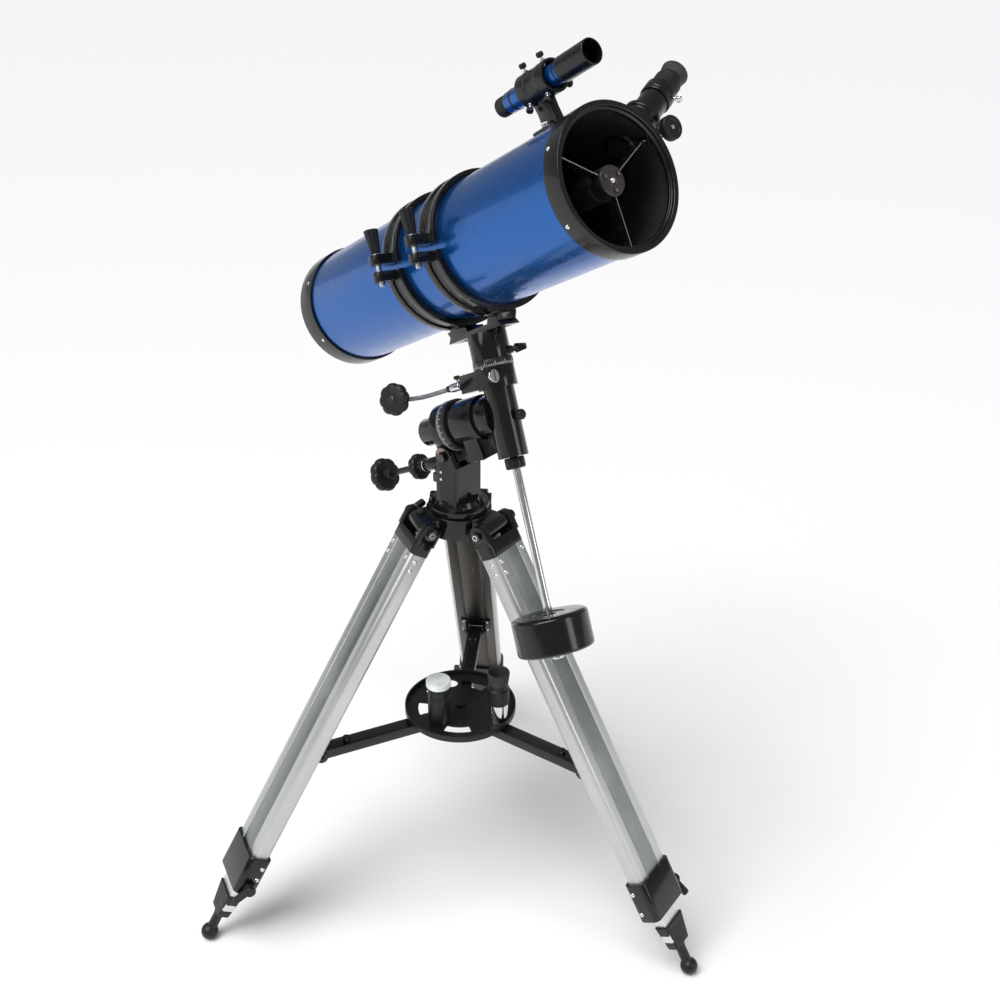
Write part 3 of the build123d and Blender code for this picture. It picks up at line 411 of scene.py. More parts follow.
class Build:
    """Collects shapes, in millimetres in local frames, into one mesh object."""

    def __init__(self):
        self.verts, self.faces, self.slots, self.materials = [], [], [], []

    def add(self, matrix, verts, faces, material):
        if material not in self.materials:
            self.materials.append(material)
        slot = self.materials.index(material)
        first = len(self.verts)
        self.verts += [matrix @ Vector(v) for v in verts]
        flip = matrix.to_3x3().determinant() < 0
        for face in faces:
            ids = [first + i for i in face]
            self.faces.append(ids[::-1] if flip else ids)
            self.slots.append(slot)

    def lathe(self, matrix, profile, material, segments=96, shape=None, closed=False):
        """Turns a profile of (radius, z) about z. A shape function may vary the radius with the angle."""
        verts, rings = [], []
        for r, z in profile:
            if r < 0.01:
                rings.append([len(verts)] * segments)
                verts.append((0, 0, z))
                continue
            ring = []
            for k in range(segments):
                a = 2 * math.pi * k / segments
                radius = shape(r, z, a) if shape else r
                ring.append(len(verts))
                verts.append((radius * math.cos(a), radius * math.sin(a), z))
            rings.append(ring)
        faces = []
        pairs = list(zip(rings, rings[1:]))
        if closed:
            pairs.append((rings[-1], rings[0]))
        for lower, upper in pairs:
            for k in range(segments):
                j = (k + 1) % segments
                face = [lower[k], lower[j], upper[j], upper[k]]
                face = [f for i, f in enumerate(face) if f != face[i - 1]]
                if len(face) > 2:
                    faces.append(face)
        self.add(matrix, verts, faces, material)

    def prism(self, matrix, outline, z0, z1, material, rounding=0.4):
        """A flat outline given thickness, with its top and bottom edges rounded."""
        centre = sum((Vector(p) for p in outline), Vector((0, 0))) / len(outline)

        def inset(amount):
            return [Vector(p) + (centre - Vector(p)).normalized() * amount for p in outline]

        cut = min(rounding, (z1 - z0) * 0.3)
        layers = [(inset(cut), z0), (inset(cut * 0.3), z0 + cut * 0.3), (inset(0), z0 + cut),
                  (inset(0), z1 - cut), (inset(cut * 0.3), z1 - cut * 0.3), (inset(cut), z1)]
        verts, count = [], len(outline)
        for points, z in layers:
            verts += [(p.x, p.y, z) for p in points]
        faces = [list(range(count))[::-1], [count * (len(layers) - 1) + i for i in range(count)]]
        for layer in range(len(layers) - 1):
            for i in range(count):
                j = (i + 1) % count
                a = layer * count
                faces.append([a + i, a + j, a + count + j, a + count + i])
        self.add(matrix, verts, faces, material)

    def rod(self, matrix, radius, z0, z1, material, edge=0.4, segments=48, shape=None):
        profile = soften([(0, z0), (radius, z0), (radius, z1), (0, z1)], edge, 3)
        self.lathe(matrix, profile, material, segments, shape)

    def pipe(self, matrix, outer, inner, z0, z1, material, edge=0.5, segments=96):
        profile = soften([(inner, z0), (outer, z0), (outer, z1), (inner, z1)], edge, 3, True)
        self.lathe(matrix, profile, material, segments, None, True)

    def hexagon(self, matrix, across, z0, z1, material):
        r = across / math.sqrt(3)
        points = [(r * math.cos(math.pi / 3 * k), r * math.sin(math.pi / 3 * k)) for k in range(6)]
        self.prism(matrix, points, z0, z1, material, 0.6)

    def done(self, name, body, slot, replaces=()):
        mesh = bpy.data.meshes.new(name)
        mesh.from_pydata([tuple(v) for v in self.verts], [], self.faces)
        for material in self.materials:
            mesh.materials.append(material)
        mesh.polygons.foreach_set("material_index", self.slots)
        mesh.polygons.foreach_set("use_smooth", [True] * len(self.faces))
        mesh.update()
        mesh.set_sharp_from_angle(angle=math.radians(SHARP_ANGLE))
        piece = bpy.data.objects.new(name, mesh)
        bpy.context.scene.collection.objects.link(piece)
        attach(piece, body)
        if replaces:
            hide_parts(*replaces)
        return piece


def rounded_lobes(r, _, a):
    """Round lobes, as on a hand knob. The middle of its face stays plain."""
    if r < 6:
        return r
    wave = abs(math.sin(LOBES * a / 2 + math.pi / 2)) ** 0.55
    return r * (1 - LOBE_DEPTH * (1 - wave))


def flutes(count, depth, smallest=3.0):
    """Fine grooves along a rim, on the part of a profile with a large enough radius."""
    def shape(r, _, a):
        if r < smallest:
            return r
        return r - depth * max(0.0, math.cos(count * a)) ** 3
    return shape


# ---------------------------------------------------------------- optical tube
tube = Build()
ends = TUBE_REAR + 3.1, TUBE_FRONT - 4
tube.lathe(OTA, [(TUBE_R, z) for z in (ends[0], -200, 0, 200, ends[1])], BLUE, 256)
tube.lathe(OTA, [(TUBE_R, ends[1])] + [(TUBE_INNER_R, z) for z in (ends[1], 100, -100, ends[0])] +
           [(TUBE_R, ends[0])], FLAT_BLACK, 256)
tube.done("tube_shell", "tube", "tube_blue", ["main_tube"])


def cross_screw(build, matrix, radius, height, material):
    """A pan-head screw with a hollow cross in its middle."""
    dome = [(0, -1.0), (radius, -1.0), (radius, height * 0.35), (radius * 0.86, height * 0.75),
            (radius * 0.5, height), (radius * 0.2, height * 0.8), (0, height * 0.35)]

    def recess(r, z, a):
        inside = r < radius * 0.6 and z > height * 0.7
        return r * (1.0 + 0.5 * max(0.0, math.cos(4 * a)) ** 2) if inside else r
    build.lathe(matrix, dome, material, 32, recess)


def end_ring_screws(build, z):
    """Six screws through an end ring into the tube."""
    for k in range(6):
        spot = OTA @ turn(END_SCREW_START + 60 * k, "Z") @ move(END_SCREW_R, 0, z) @ TO_X
        cross_screw(build, spot, 3.1, 1.7, CHROME)


front = Build()
lip = soften([(90.1, 306), (END_RING_R, 306), (END_RING_R, TUBE_FRONT), (86.4, TUBE_FRONT), (85.4, 330.2),
              (82.6, 330), (82.6, 325), (87.6, 325), (88.5, 331.2), (90.1, 331.2)], 1.3, 4, True)
front.lathe(OTA, lip, TRIM, 256, None, True)
end_ring_screws(front, 314)
front.done("front_ring_trim", "tube", "tube_trim_black", ["front_ring"])

rear = Build()
profile = soften([(90.1, TUBE_REAR + 3), (90.1, -318.4), (END_RING_R, -318.4), (END_RING_R, TUBE_REAR),
                  (70, TUBE_REAR), (70, TUBE_REAR + 2.9), (88, TUBE_REAR + 3)], 1.2, 4, True)
rear.lathe(OTA, profile[::-1], TRIM, 256, None, True)
rear.pipe(OTA, 87, 61, TUBE_REAR + 3, TUBE_REAR + 10, CAST, 1.0, 128)
for k in range(3):
    spoke = OTA @ turn(120 * k, "Z")
    outline = [(2, -9), (30, -7.5), (64, -10.5), (64, 10.5), (30, 7.5), (2, 9)]
    rear.prism(spoke, outline, TUBE_REAR + 3.4, TUBE_REAR + 9.6, CAST, 1.0)
    rear.rod(spoke @ move(52, 0, 0), 6.2, TUBE_REAR - 0.2, TUBE_REAR + 4, CHROME, 0.8, 48, flutes(16, 0.5))
    rear.rod(spoke @ move(38, 0, 0), 2.6, TUBE_REAR + 1.2, TUBE_REAR + 4, STEEL, 0.4, 32)
    rear.rod(spoke @ move(76, 0, 0), 3.2, TUBE_REAR, TUBE_REAR + 4, CHROME, 0.8, 32)
rear.rod(OTA, 13, TUBE_REAR + 2.8, TUBE_REAR + 10, CAST, 1.0)
end_ring_screws(rear, -330.4)
rear.done("rear_cell_trim", "tube", "tube_trim_black", ["rear_cell"])

mirror = Build()
back = TUBE_REAR + 24.0
sag = [(r, back + 20 - (75 ** 2 - r ** 2) / 3000) for r in (0, 15, 30, 45, 60, 74.2)]
mirror.lathe(OTA, sag[::-1], MIRROR, 192)
edge = [(0, back), (74.4, back), (75, back + 0.6), (75, back + 19.3), (74.2, back + 20)]
mirror.lathe(OTA, edge, GLASS, 192)
mirror.lathe(OTA, soften([(20, back - 6), (80, back - 6), (80, back - 0.1), (20, back - 0.1)], 0.8, 3, True),
             CAST, 128, None, True)
for k in range(3):
    clip = OTA @ turn(60 + 120 * k, "Z")
    outline = [(75.5, -6), (79.4, -6), (79.4, 6), (75.5, 6)]
    mirror.prism(clip, outline, back - 1, back + 23, FLAT_BLACK, 0.3)
    mirror.prism(clip, [(69, -5), (79.4, -6), (79.4, 6), (69, 5)], back + 20.4, back + 23, FLAT_BLACK, 0.4)
    mirror.rod(clip @ move(77.5, 0, 0), 1.6, back + 22.5, back + 24.4, CHROME, 0.3, 24)
    mirror.rod(OTA @ turn(120 * k, "Z") @ move(52, 0, 0), 3, TUBE_REAR + 16, back - 5, STEEL)
mirror.done("primary_mirror_detail", "primary_mirror", "mirror", ["primary_mirror"])

spider = Build()
spider.lathe(OTA, soften([(0, 305), (19.5, 305), (19.5, 319.2), (19.2, 320.2)], 0.3, 3), FLAT_BLACK, 96)
face = soften([(19.2, 320.2), (18.2, 321), (6, 321), (5.4, 320.2), (0, 320.2)], 0.6, 4)
spider.lathe(OTA, face, HUB_PAINT, 96)
for k in range(3):
    vane = OTA @ turn(66 + 120 * k, "Z")
    outline = [(17, 302), (88.6, 301), (88.6, 320), (17, 318)]
    spider.prism(vane @ turn(90, "X"), outline, -0.6, 0.6, STEEL, 0.15)
    for z in (305.5, 316):
        spider.rod(vane @ move(84, -2.4, z) @ turn(-90, "X"), 1.9, 0.2, 2.4, CHROME, 0.3, 24)
    spot = vane @ move(12.5, 0, 0)
    spider.rod(spot, 2.6, 319.5, 323, FLAT_BLACK, 0.4, 32)
    spider.pipe(spot, 2.0, 1.2, 322.6, 323.3, STEEL, 0.1, 24)
cross_screw(spider, OTA @ move(0, 0, 320.6), 3.6, 2.4, CHROME)
spider.done("spider_detail", "tube", "black_steel", ["spider"])

second = Build()
flat = OTA @ turn(FOCUSER_ANGLE, "Z")
count = 96
bottom, top = [], []
for k in range(count):
    a = 2 * math.pi * k / count
    x, y = 20 * math.cos(a), 20 * math.sin(a)
    bottom.append((x, y, FOCUSER_Z + x))
    top.append((x, y, FOCUSER_Z + 27))
silvered = [(x * 0.99, y * 0.99, z - 0.3) for x, y, z in bottom]
sides = [[k, (k + 1) % count, count + (k + 1) % count, count + k] for k in range(count)]
second.add(flat, bottom + top, sides + [[count + k for k in range(count)]], FLAT_BLACK)
second.add(flat, silvered, [list(range(count))[::-1]], MIRROR)
second.add(flat, bottom + silvered, [[a, d, c, b] for a, b, c, d in sides], GLASS)
second.rod(flat, 4, FOCUSER_Z + 26, 314, STEEL, 0.3, 32)
second.done("secondary_detail", "secondary_mirror", "mirror", ["secondary_mirror"])

# ---------------------------------------------------------------- focuser
FOCUSER = placed(TUBE_CENTRE + TUBE * FOCUSER_Z, TUBE, from_tube(FOCUSER_ANGLE))


def tube_foot(build, matrix, half_along, half_across, thickness, material):
    """A curved pad that sits on the tube. The frame's z leaves the tube, and x runs along it."""
    columns, rows = 24, 10
    verts, faces = [], []
    for layer in (0, 1):
        for i in range(rows + 1):
            for j in range(columns + 1):
                u = -1 + 2 * i / rows
                v = -1 + 2 * j / columns
                x, y = u * half_along, v * half_across
                r = TUBE_R + 0.1 + layer * (thickness - (0.8 if max(abs(u), abs(v)) > 0.99 else 0.0))
                verts.append((x, y, math.sqrt(r * r - y * y)))
    stride = (rows + 1) * (columns + 1)
    for i in range(rows):
        for j in range(columns):
            a = i * (columns + 1) + j
            faces.append([a, a + 1, a + columns + 2, a + columns + 1])
            faces.append([stride + a, stride + a + columns + 1, stride + a + columns + 2, stride + a + 1])
    rim = list(range(columns + 1))
    rim += [i * (columns + 1) + columns for i in range(1, rows + 1)]
    rim += [rows * (columns + 1) + j for j in range(columns - 1, -1, -1)]
    rim += [i * (columns + 1) for i in range(rows - 1, 0, -1)]
    for a, b in zip(rim, rim[1:] + rim[:1]):
        faces.append([a, stride + a, stride + b, b])
    build.add(matrix, verts, faces, material)


focus = Build()
tube_foot(focus, FOCUSER, 27, 26, 5.5, TRIM)
body = soften([(19.6, 86), (25.5, 90), (25, 96), (24.2, 104), (23, 144), (25.6, 146.4), (26, 147.4),
               (26, 152), (25, 153), (19.6, 153)], 1.0, 4, True)
focus.lathe(FOCUSER, body, TRIM, 128, None, True)
block = [(-12, 34), (12, 34), (12, 10), (-12, 10)]
focus.prism(FOCUSER, block[::-1], 124, 151.8, TRIM, 1.6)
for x in (-7.5, 7.5):
    for z in (129.5, 147):
        cross_screw(focus, FOCUSER @ move(x, 33.7, z) @ TO_Y, 2.3, 1.3, CHROME)
foot_r = TUBE_R + 5.4
for x, y in ((-22, -20), (22, -20), (-22, 20), (22, 20)):
    lean = turn(math.degrees(-math.asin(y / foot_r)), "X")
    cross_screw(focus, FOCUSER @ move(x, y, math.sqrt(foot_r ** 2 - y * y)) @ lean, 2.6, 1.6, CHROME)
focus.done("focuser_body", "tube", "tube_trim_black", ["focuser_base"])

draw = Build()
draw.lathe(FOCUSER, soften([(16.1, 84), (19.3, 84), (19.3, 186.5), (16.1, 186.5)], 0.5, 3, True), TRIM, 128,
           None, True)
holder = soften([(16.1, 186), (20.6, 186), (21.5, 187.2), (21.5, 190), (20.8, 190.8), (20.8, 191.8),
                 (21.5, 192.6), (21.5, 205), (20.6, 206), (16.1, 206)], 0.5, 3, True)
draw.lathe(FOCUSER, holder, TRIM, 128, None, True)
for angle in (35, 155):
    screw = FOCUSER @ move(0, 0, 197.5) @ turn(angle, "Z") @ TO_X
    draw.rod(screw, 1.7, 19, 29, CHROME, 0.2, 24)
    head = soften([(0, 27), (4.4, 27), (4.8, 28), (4.8, 32), (4.0, 33.4), (0, 33.6)], 0.5, 3)
    draw.lathe(screw, head, CHROME, 64, flutes(16, 0.5, 4.0))
draw.done("focuser_drawtube_detail", "focuser", "chrome", ["focuser_drawtube"])

knobs = Build()
# the pinion lies along the tube, which is the x axis of this frame
pinion = FOCUSER @ move(0, PINION_Y, PINION_Z) @ TO_X
knobs.rod(pinion, 3.4, -34, 34, STEEL, 0.4, 32)
for side in (-1, 1):
    wheel = pinion @ (Matrix.Identity(4) if side > 0 else turn(180, "X"))
    outer = soften([(0, 31), (11, 31), (13.5, 32.5), (15.6, 33.2), (16, 34), (16, 42), (14.8, 43.6),
                    (10.4, 44), (9.6, 43), (0, 42.6)], 0.7, 3)
    knobs.lathe(wheel, outer, PLASTIC, 160, flutes(32, 0.6, 15.2))
    knobs.rod(wheel, 2.6, 42, 43.8, CHROME, 0.5, 32)
knobs.done("focuser_wheels", "focuser_knobs", "black_plastic", ["focuser_knobs"])


def eyepiece(build, matrix, z0, barrel, height, body_r):
    """Bright barrel, black body with a grip band, rubber cup and eye lens."""
    top = z0 + barrel
    sleeve = soften([(12.6, z0), (15.6, z0), (15.9, z0 + 0.8), (15.9, top), (12.6, top)], 0.3, 2, True)
    build.lathe(matrix, sleeve, CHROME, 128, None, True)
    build.rod(matrix, 12.5, z0 + 3, z0 + 5, GLASS, 0.2, 96)
    body = soften([(0, top), (body_r - 1, top), (body_r, top + 1), (body_r, top + height * 0.48),
                   (body_r - 1.5, top + height * 0.5), (body_r - 2.4, top + height * 0.66)], 0.6, 3)
    build.lathe(matrix, body, PLASTIC, 144, flutes(36, 0.5, body_r - 0.05))
    cup = soften([(body_r - 2.6, top + height * 0.6), (body_r - 1.6, top + height * 0.68),
                  (body_r + 0.4, top + height * 0.96), (body_r - 0.6, top + height),
                  (body_r - 3.2, top + height * 0.97), (body_r - 7, top + height * 0.7),
                  (0, top + height * 0.68)], 0.8, 4)
    build.lathe(matrix, cup, SOFT_BLACK, 144)
    lens = [(body_r - 7.5, top + height * 0.705), (4, top + height * 0.72), (0, top + height * 0.725)]
    build.lathe(matrix, lens, GLASS, 96)


eye = Build()
eyepiece(eye, FOCUSER, 182, 24.3, 41.5, 18.5)
eye.done("eyepiece_detail", "eyepiece", "eyepiece_black", ["eyepiece"])

# ---------------------------------------------------------------- finder
FINDER = placed(TUBE_CENTRE, from_tube(FINDER_ANGLE), TUBE)
scope_axis = FINDER @ move(FINDER_OFFSET, 0, 0)
scope = Build()
scope.lathe(scope_axis, soften([(10, 184), (14, 184), (14, 295), (13, 295)], 0.4, 3), FINDER_BLUE, 144)
shield = soften([(13.6, 294), (15.4, 294), (16.2, 295.5), (16.2, 349), (15.6, 350), (14.6, 350), (14.6, 317),
                 (13.6, 316)], 0.5, 3, True)
scope.lathe(scope_axis, shield, TRIM, 144, None, True)
scope.lathe(scope_axis, [(14.6, 318), (9, 320), (4, 320.6), (0, 320.8)], GLASS, 96)
rear_end = soften([(0, 172), (5.2, 170), (8, 167), (11, 164), (12.6, 164), (13, 165), (13, 176), (12, 178),
                   (11.5, 179), (11.5, 184), (13.9, 185), (13.9, 188), (0, 188)], 0.5, 3)
scope.lathe(scope_axis, rear_end, PLASTIC, 144, flutes(30, 0.45, 12.9))
scope.lathe(scope_axis, [(0, 171.4), (5.2, 170.6)], GLASS, 64)
for z in (196, 287):
    scope.pipe(scope_axis, 14.35, 13.8, z, z + 3, TRIM, 0.2, 144)
scope.done("finder_detail", "finder", "tube_blue", ["finder_tube"])

bracket = Build()
bracket.lathe(scope_axis, soften([(18, 221), (21.5, 221), (21.5, 238), (20.7, 239), (20.7, 259), (21.5, 260),
                                  (21.5, 277), (18, 277)], 0.6, 3, True), TRIM, 144, None, True)
stem = FINDER @ turn(90, "X")
outline = [(93, 235), (112, 233), (127.5, 229), (127.5, 259), (112, 261), (93, 265)]
bracket.prism(stem, outline, -7, 7, TRIM, 1.4)
foot_frame = placed(TUBE_CENTRE + TUBE * 250, TUBE, FINDER.col[0].to_3d())
tube_foot(bracket, foot_frame, 21, 20, 4.0, TRIM)
for z in (231, 267):
    for angle in (10, 150, -110):
        screw = scope_axis @ move(0, 0, z) @ turn(angle, "Z") @ TO_X
        bracket.rod(screw, 1.7, 15, 30, CHROME, 0.2, 24)
        bracket.pipe(screw, 3.6, 1.8, 21.2, 23.4, STEEL, 0.3, 32)
        head = soften([(0, 26.4), (3.2, 26.4), (4.7, 27.6), (4.7, 31.6), (4.0, 32.8), (0, 33)], 0.5, 3)
        bracket.lathe(screw, head, PLASTIC, 64, flutes(14, 0.5, 4.2))
for y in (-15, 15):
    nut = foot_frame @ move(0, y, math.sqrt((TUBE_R + 4.0) ** 2 - y * y) - 0.6)
    head = soften([(0, 0), (4.4, 0), (4.7, 1), (4.7, 5), (3.8, 6), (0, 6.4)], 0.5, 3)
    bracket.lathe(nut, head, CHROME, 64, flutes(16, 0.45, 4.2))
bracket.done("finder_bracket_detail", "tube", "tube_trim_black", ["finder_bracket"])

# ---------------------------------------------------------------- ring knobs
for name, z in RING_CENTRES.items():
    knob = Build()
    axis = OTA @ move(0, 117.5, z) @ TO_X
    knob.rod(axis, 3.9, -26, 20, CHROME, 0.5, 48)
    knob.pipe(axis, 7.4, 4, 18.05, 19.2, STEEL, 0.3, 64)
    handle = soften([(0, 19.2), (6.4, 19.2), (6.8, 20.6), (10, 50), (10.4, 51.5), (10.4, 53), (9.2, 54),
                     (4.5, 54), (4, 53.2), (0, 53.2)], 0.8, 4)
    knob.lathe(axis, handle, PLASTIC, 160, flutes(8, 1.1, 6.2))
    knob.done(f"ring_knob_{name}_detail", f"ring_knob_{name}", "black_plastic", [f"ring_knob_{name}"])

# ---------------------------------------------------------------- mount controls


def hand_knob(build, matrix, radius, z0, z1, hub, hub_z):
    """A lobed hand knob: a dished face with a steel centre at z0, and a hub behind it, up to hub_z."""
    t = z1 - z0
    face = soften([(0, z0 + t * 0.12), (radius * 0.42, z0 + t * 0.06), (radius * 0.84, z0 + t * 0.12),
                   (radius, z0 + t * 0.34), (radius, z1 - t * 0.26), (radius * 0.9, z1 - t * 0.04),
                   (radius * 0.5, z1), (0, z1)], radius * 0.09, 5)
    build.lathe(matrix, face, PLASTIC, 192, rounded_lobes)
    boss = soften([(0, z1 - 1), (hub, z1 - 1), (hub * 0.8, hub_z), (0, hub_z)], 1.0, 4)
    build.lathe(matrix, boss, PLASTIC, 64)
    build.rod(matrix, radius * 0.2, z0 + t * 0.02, z0 + t * 0.3, DARK_STEEL, 0.8, 48)


screw_axis = RA @ move(0, LATITUDE_ROD_Y, 0)
screw = Build()
screw.lathe(screw_axis, soften([(0, -188), (5, -188), (5, -48), (3.6, -46), (0, -46)], 0.5, 3), SHEET, 64)
threads = [(0, -158)]
for k in range(60):
    threads += [(5.0, -157.6 + k * 1.5), (4.5, -156.85 + k * 1.5)]
threads += [(0, -67)]
screw.lathe(screw_axis, threads, STEEL, 64)
hand_knob(screw, screw_axis, 27, -210, -189.4, 11, -178.5)
screw.done("latitude_screw_detail", "latitude_screw", "black_steel", ["latitude_screw"])

lock = Build()
profile = soften([(5.4, -120.6), (12, -121), (18, -120), (20.5, -117.5), (20.5, -110), (18.4, -106.6),
                  (11.5, -106.2), (10.5, -99.2), (5.4, -99.2)], 1.3, 4, True)
lock.lathe(screw_axis, profile, PLASTIC, 192, rounded_lobes, True)
lock.pipe(screw_axis, 10.4, 5.3, -99.1, -96.5, CHROME, 0.5, 64)
lock.done("latitude_lock_detail", "latitude_lock", "black_plastic", ["latitude_lock_knob"])

cable_run = (CABLE_TIP - CABLE_BEFORE).normalized()
across = cable_run.orthogonal()
turned = placed(Vector((0, 0, 0)), across, cable_run).to_3x3().to_4x4() @ Matrix.Scale(1 / MM, 4)
KNOB = DECB @ Matrix.Translation(CABLE_TIP) @ turned
slow = Build()
slow.lathe(KNOB, soften([(0, 0.4), (6.6, 0.4), (7, 2), (7, 8), (0, 8)], 0.8, 3), PLASTIC, 64)
hand_knob(slow, KNOB @ move(0, 0, 28) @ turn(180, "X"), 23.5, 5, 23, 7, 27)
slow.done("slow_motion_knob", "dec_knob", "black_plastic", ["dec_knob"])

worm = Build()
worm_axis = DECB @ move(0, WORM_Y, WORM_Z) @ TO_X
worm.rod(worm_axis, 3.5, -56, 12, STEEL, 0.3, 48)
worm.rod(worm_axis, 5, -12, 10, STEEL, 0.3, 48)
clip = soften([(0, -66), (6.1, -66), (6.5, -65), (6.5, -48), (5.8, -47), (0, -47)], 0.5, 3)
worm.lathe(worm_axis, clip, CHROME, 96)
thumb = worm_axis @ move(0, 0, -52) @ turn(180, "Z") @ TO_X
worm.rod(thumb, 1.8, 5, 12, CHROME, 0.2, 24)
head = soften([(0, 10), (3.4, 10), (4.6, 11), (4.6, 14.4), (3.6, 15.4), (0, 15.6)], 0.5, 3)
worm.lathe(thumb, head, PLASTIC, 64, flutes(10, 0.5, 4.0))
worm.done("dec_worm_detail", "dec_worm", "chrome", ["dec_worm"])

# ---------------------------------------------------------------- counterweight
weight = Build()
# its two faces, along the declination axis
top, low = -291.9, -348.5
profile = soften([(6.5, low), (20, low), (22, low + 1.2), (51, low + 1.2), (56, low + 4), (56, top - 4),
                  (51, top - 0.2), (24, top), (22, top - 1.4), (11, top - 1.6), (10, top), (6.5, top)],
                 2.4, 6, True)
weight.lathe(DECB, profile, WEIGHT, 256, None, True)
lock_screw = DECB @ move(0, 0, (top + low) / 2) @ turn(200, "Z") @ TO_X
weight.rod(lock_screw, 4, 50, 56.4, STEEL, 0.5, 48)
weight.done("counterweight_detail", "counterweight", "weight_iron", ["counterweight"])

shaft = Build()
shaft.rod(DECB, 6, -353, -62, plating("shaft_plating", matrix=DECB), 0.5, 96)
nut = soften([(0, -81), (12.6, -81), (14.6, -79), (14.6, -66), (13.4, -64.4), (0, -64.4)], 0.9, 4)
shaft.lathe(DECB, nut, CAST, 192, flutes(24, 0.8, 14.0))
stop = soften([(0, -358), (7.6, -358), (9, -356.6), (9, -350.4), (8, -349.2), (0, -349.2)], 0.7, 3)
shaft.lathe(DECB, stop, CHROME, 96, flutes(20, 0.35, 8.8))
shaft.done("counterweight_shaft_detail", "dec_housing", "chrome", ["counterweight_shaft"])

# ---------------------------------------------------------------- tray and spare pieces
for node, (x, y) in {"spare_eyepiece": (65.5, -30.0), "barlow_lens": (-30.0, -46.0)}.items():
    stand = HERE @ move(x, y, TRAY_FLOOR_Z)
    spare = Build()
    if node == "spare_eyepiece":
        eyepiece(spare, stand, 0, 36, 59.8, 18.0)
    else:
        spare.pipe(stand, 14.2, 11, 0, 9, PLASTIC, 0.5, 96)
        body = soften([(0, 8), (16, 8), (17.5, 10), (17.5, 52), (16.8, 53), (16.8, 56), (17.5, 57),
                       (17.5, 69), (16.5, 70), (14.2, 71), (14.2, 76), (0, 76)], 0.6, 3)
        spare.lathe(stand, body, PLASTIC, 144)
        cover = soften([(14.2, 74), (19.6, 74.2), (20, 75), (20, 83.6), (18.6, 85), (0, 85)], 0.8, 4)
        spare.lathe(stand, cover, PALE_CAP, 144)
        spare.rod(stand, 10.8, 4, 6, GLASS, 0.2, 96)
    spare.done(node + "_detail", node, "eyepiece_black", [node])

# ---------------------------------------------------------------- tripod details


RIVET = [(3.9, 0), (3.6, 0.9), (2.7, 1.7), (1.2, 2.2), (0, 2.3)]
SMALL_RIVET = [(2.6, 0), (2.4, 0.6), (1.7, 1.2), (0, 1.5)]


def wing_lever(build, matrix, length, root, z0):
    """A moulded wing lever: a round boss and a tapering blade."""
    boss = soften([(0, z0), (root, z0), (root, z0 + 12), (root - 1.6, z0 + 14), (0, z0 + 14)], 1.0, 4)
    build.lathe(matrix, boss, PLASTIC, 64)
    half = 5.5
    outline = []
    for k in range(9):
        a = -math.pi / 2 + math.pi * k / 8
        outline.append((length - 3 + 3.4 * math.cos(a), (half * 0.85) * math.sin(a)))
    outline += [(root * 0.5, half), (0, half * 0.9), (0, -half * 0.9), (root * 0.5, -half)]
    build.prism(matrix, outline, z0 + 0.6, z0 + 9.4, PLASTIC, 1.6)


for name, azimuth in LEG_AZIMUTHS.items():
    pin, face, up_leg = leg_axes(azimuth)
    LEG = placed(pin, face, up_leg)
    hinge = placed(pin, direction(azimuth, 0), UP) @ TO_Y
    if name == "left":
        hinge = hinge @ turn(180, "X")
    bolt = Build()
    bolt.rod(hinge, 5, -43, 45, DARK_STEEL, 0.5, 48)
    bolt.hexagon(hinge, 15, -44.4, -38.9, DARK_STEEL)
    bolt.pipe(hinge, 4.6, 2.6, -44.5, -43.6, STEEL, 0.2, 48)
    bolt.pipe(hinge, 10.2, 5.2, -38.95, -38.55, DARK_STEEL, 0.1, 48)
    wing_lever(bolt, hinge @ turn(150, "Z"), 26, 8, 38.9)
    bolt.done(f"hinge_bolt_{name}", f"leg_{name}_bolt", "chrome", [f"leg_{name}_hinge_bolt"])

    clamp = Build()
    lever = LEG @ move(0, 0, -LEG_CLAMP) @ TO_Y
    clamp.rod(lever, 4, 24.2, 46, CHROME, 0.4, 48)
    clamp.pipe(lever, 7.2, 4.2, 43.2, 44.2, STEEL, 0.2, 48)
    wing_lever(clamp, lever @ turn(60, "Z"), 30, 9, 43.8)
    clamp.done(f"clamp_lever_{name}", f"leg_{name}_clamp", "black_steel", [f"leg_{name}_clamp_screw"])

    rivets = Build()
    for side, outwards in ((-1, turn(90, "X")), (1, TO_Y)):
        for z in (-50, -66):
            rivets.lathe(LEG @ move(3, side * 38.9, z) @ outwards, RIVET, CHROME, 32)
        for z in (-619, -LEG_CLAMP if side < 0 else -640):
            rivets.lathe(LEG @ move(-8, side * 42.9, z) @ outwards, RIVET, CHROME, 32)
    for y, z in ((-27, -48), (-27, -66), (27, -48)):
        rivets.lathe(LEG @ move(14.9, y, z) @ TO_X, RIVET, CHROME, 32)
    for y in (-21, 21):
        for z in (-LEG_BRACKET - 15, -LEG_BRACKET + 15):
            rivets.lathe(LEG @ move(-17.8, y, z) @ turn(-90, "Y"), SMALL_RIVET, CHROME, 32)
    rivets.done(f"rivets_{name}", f"leg_{name}", "chrome")

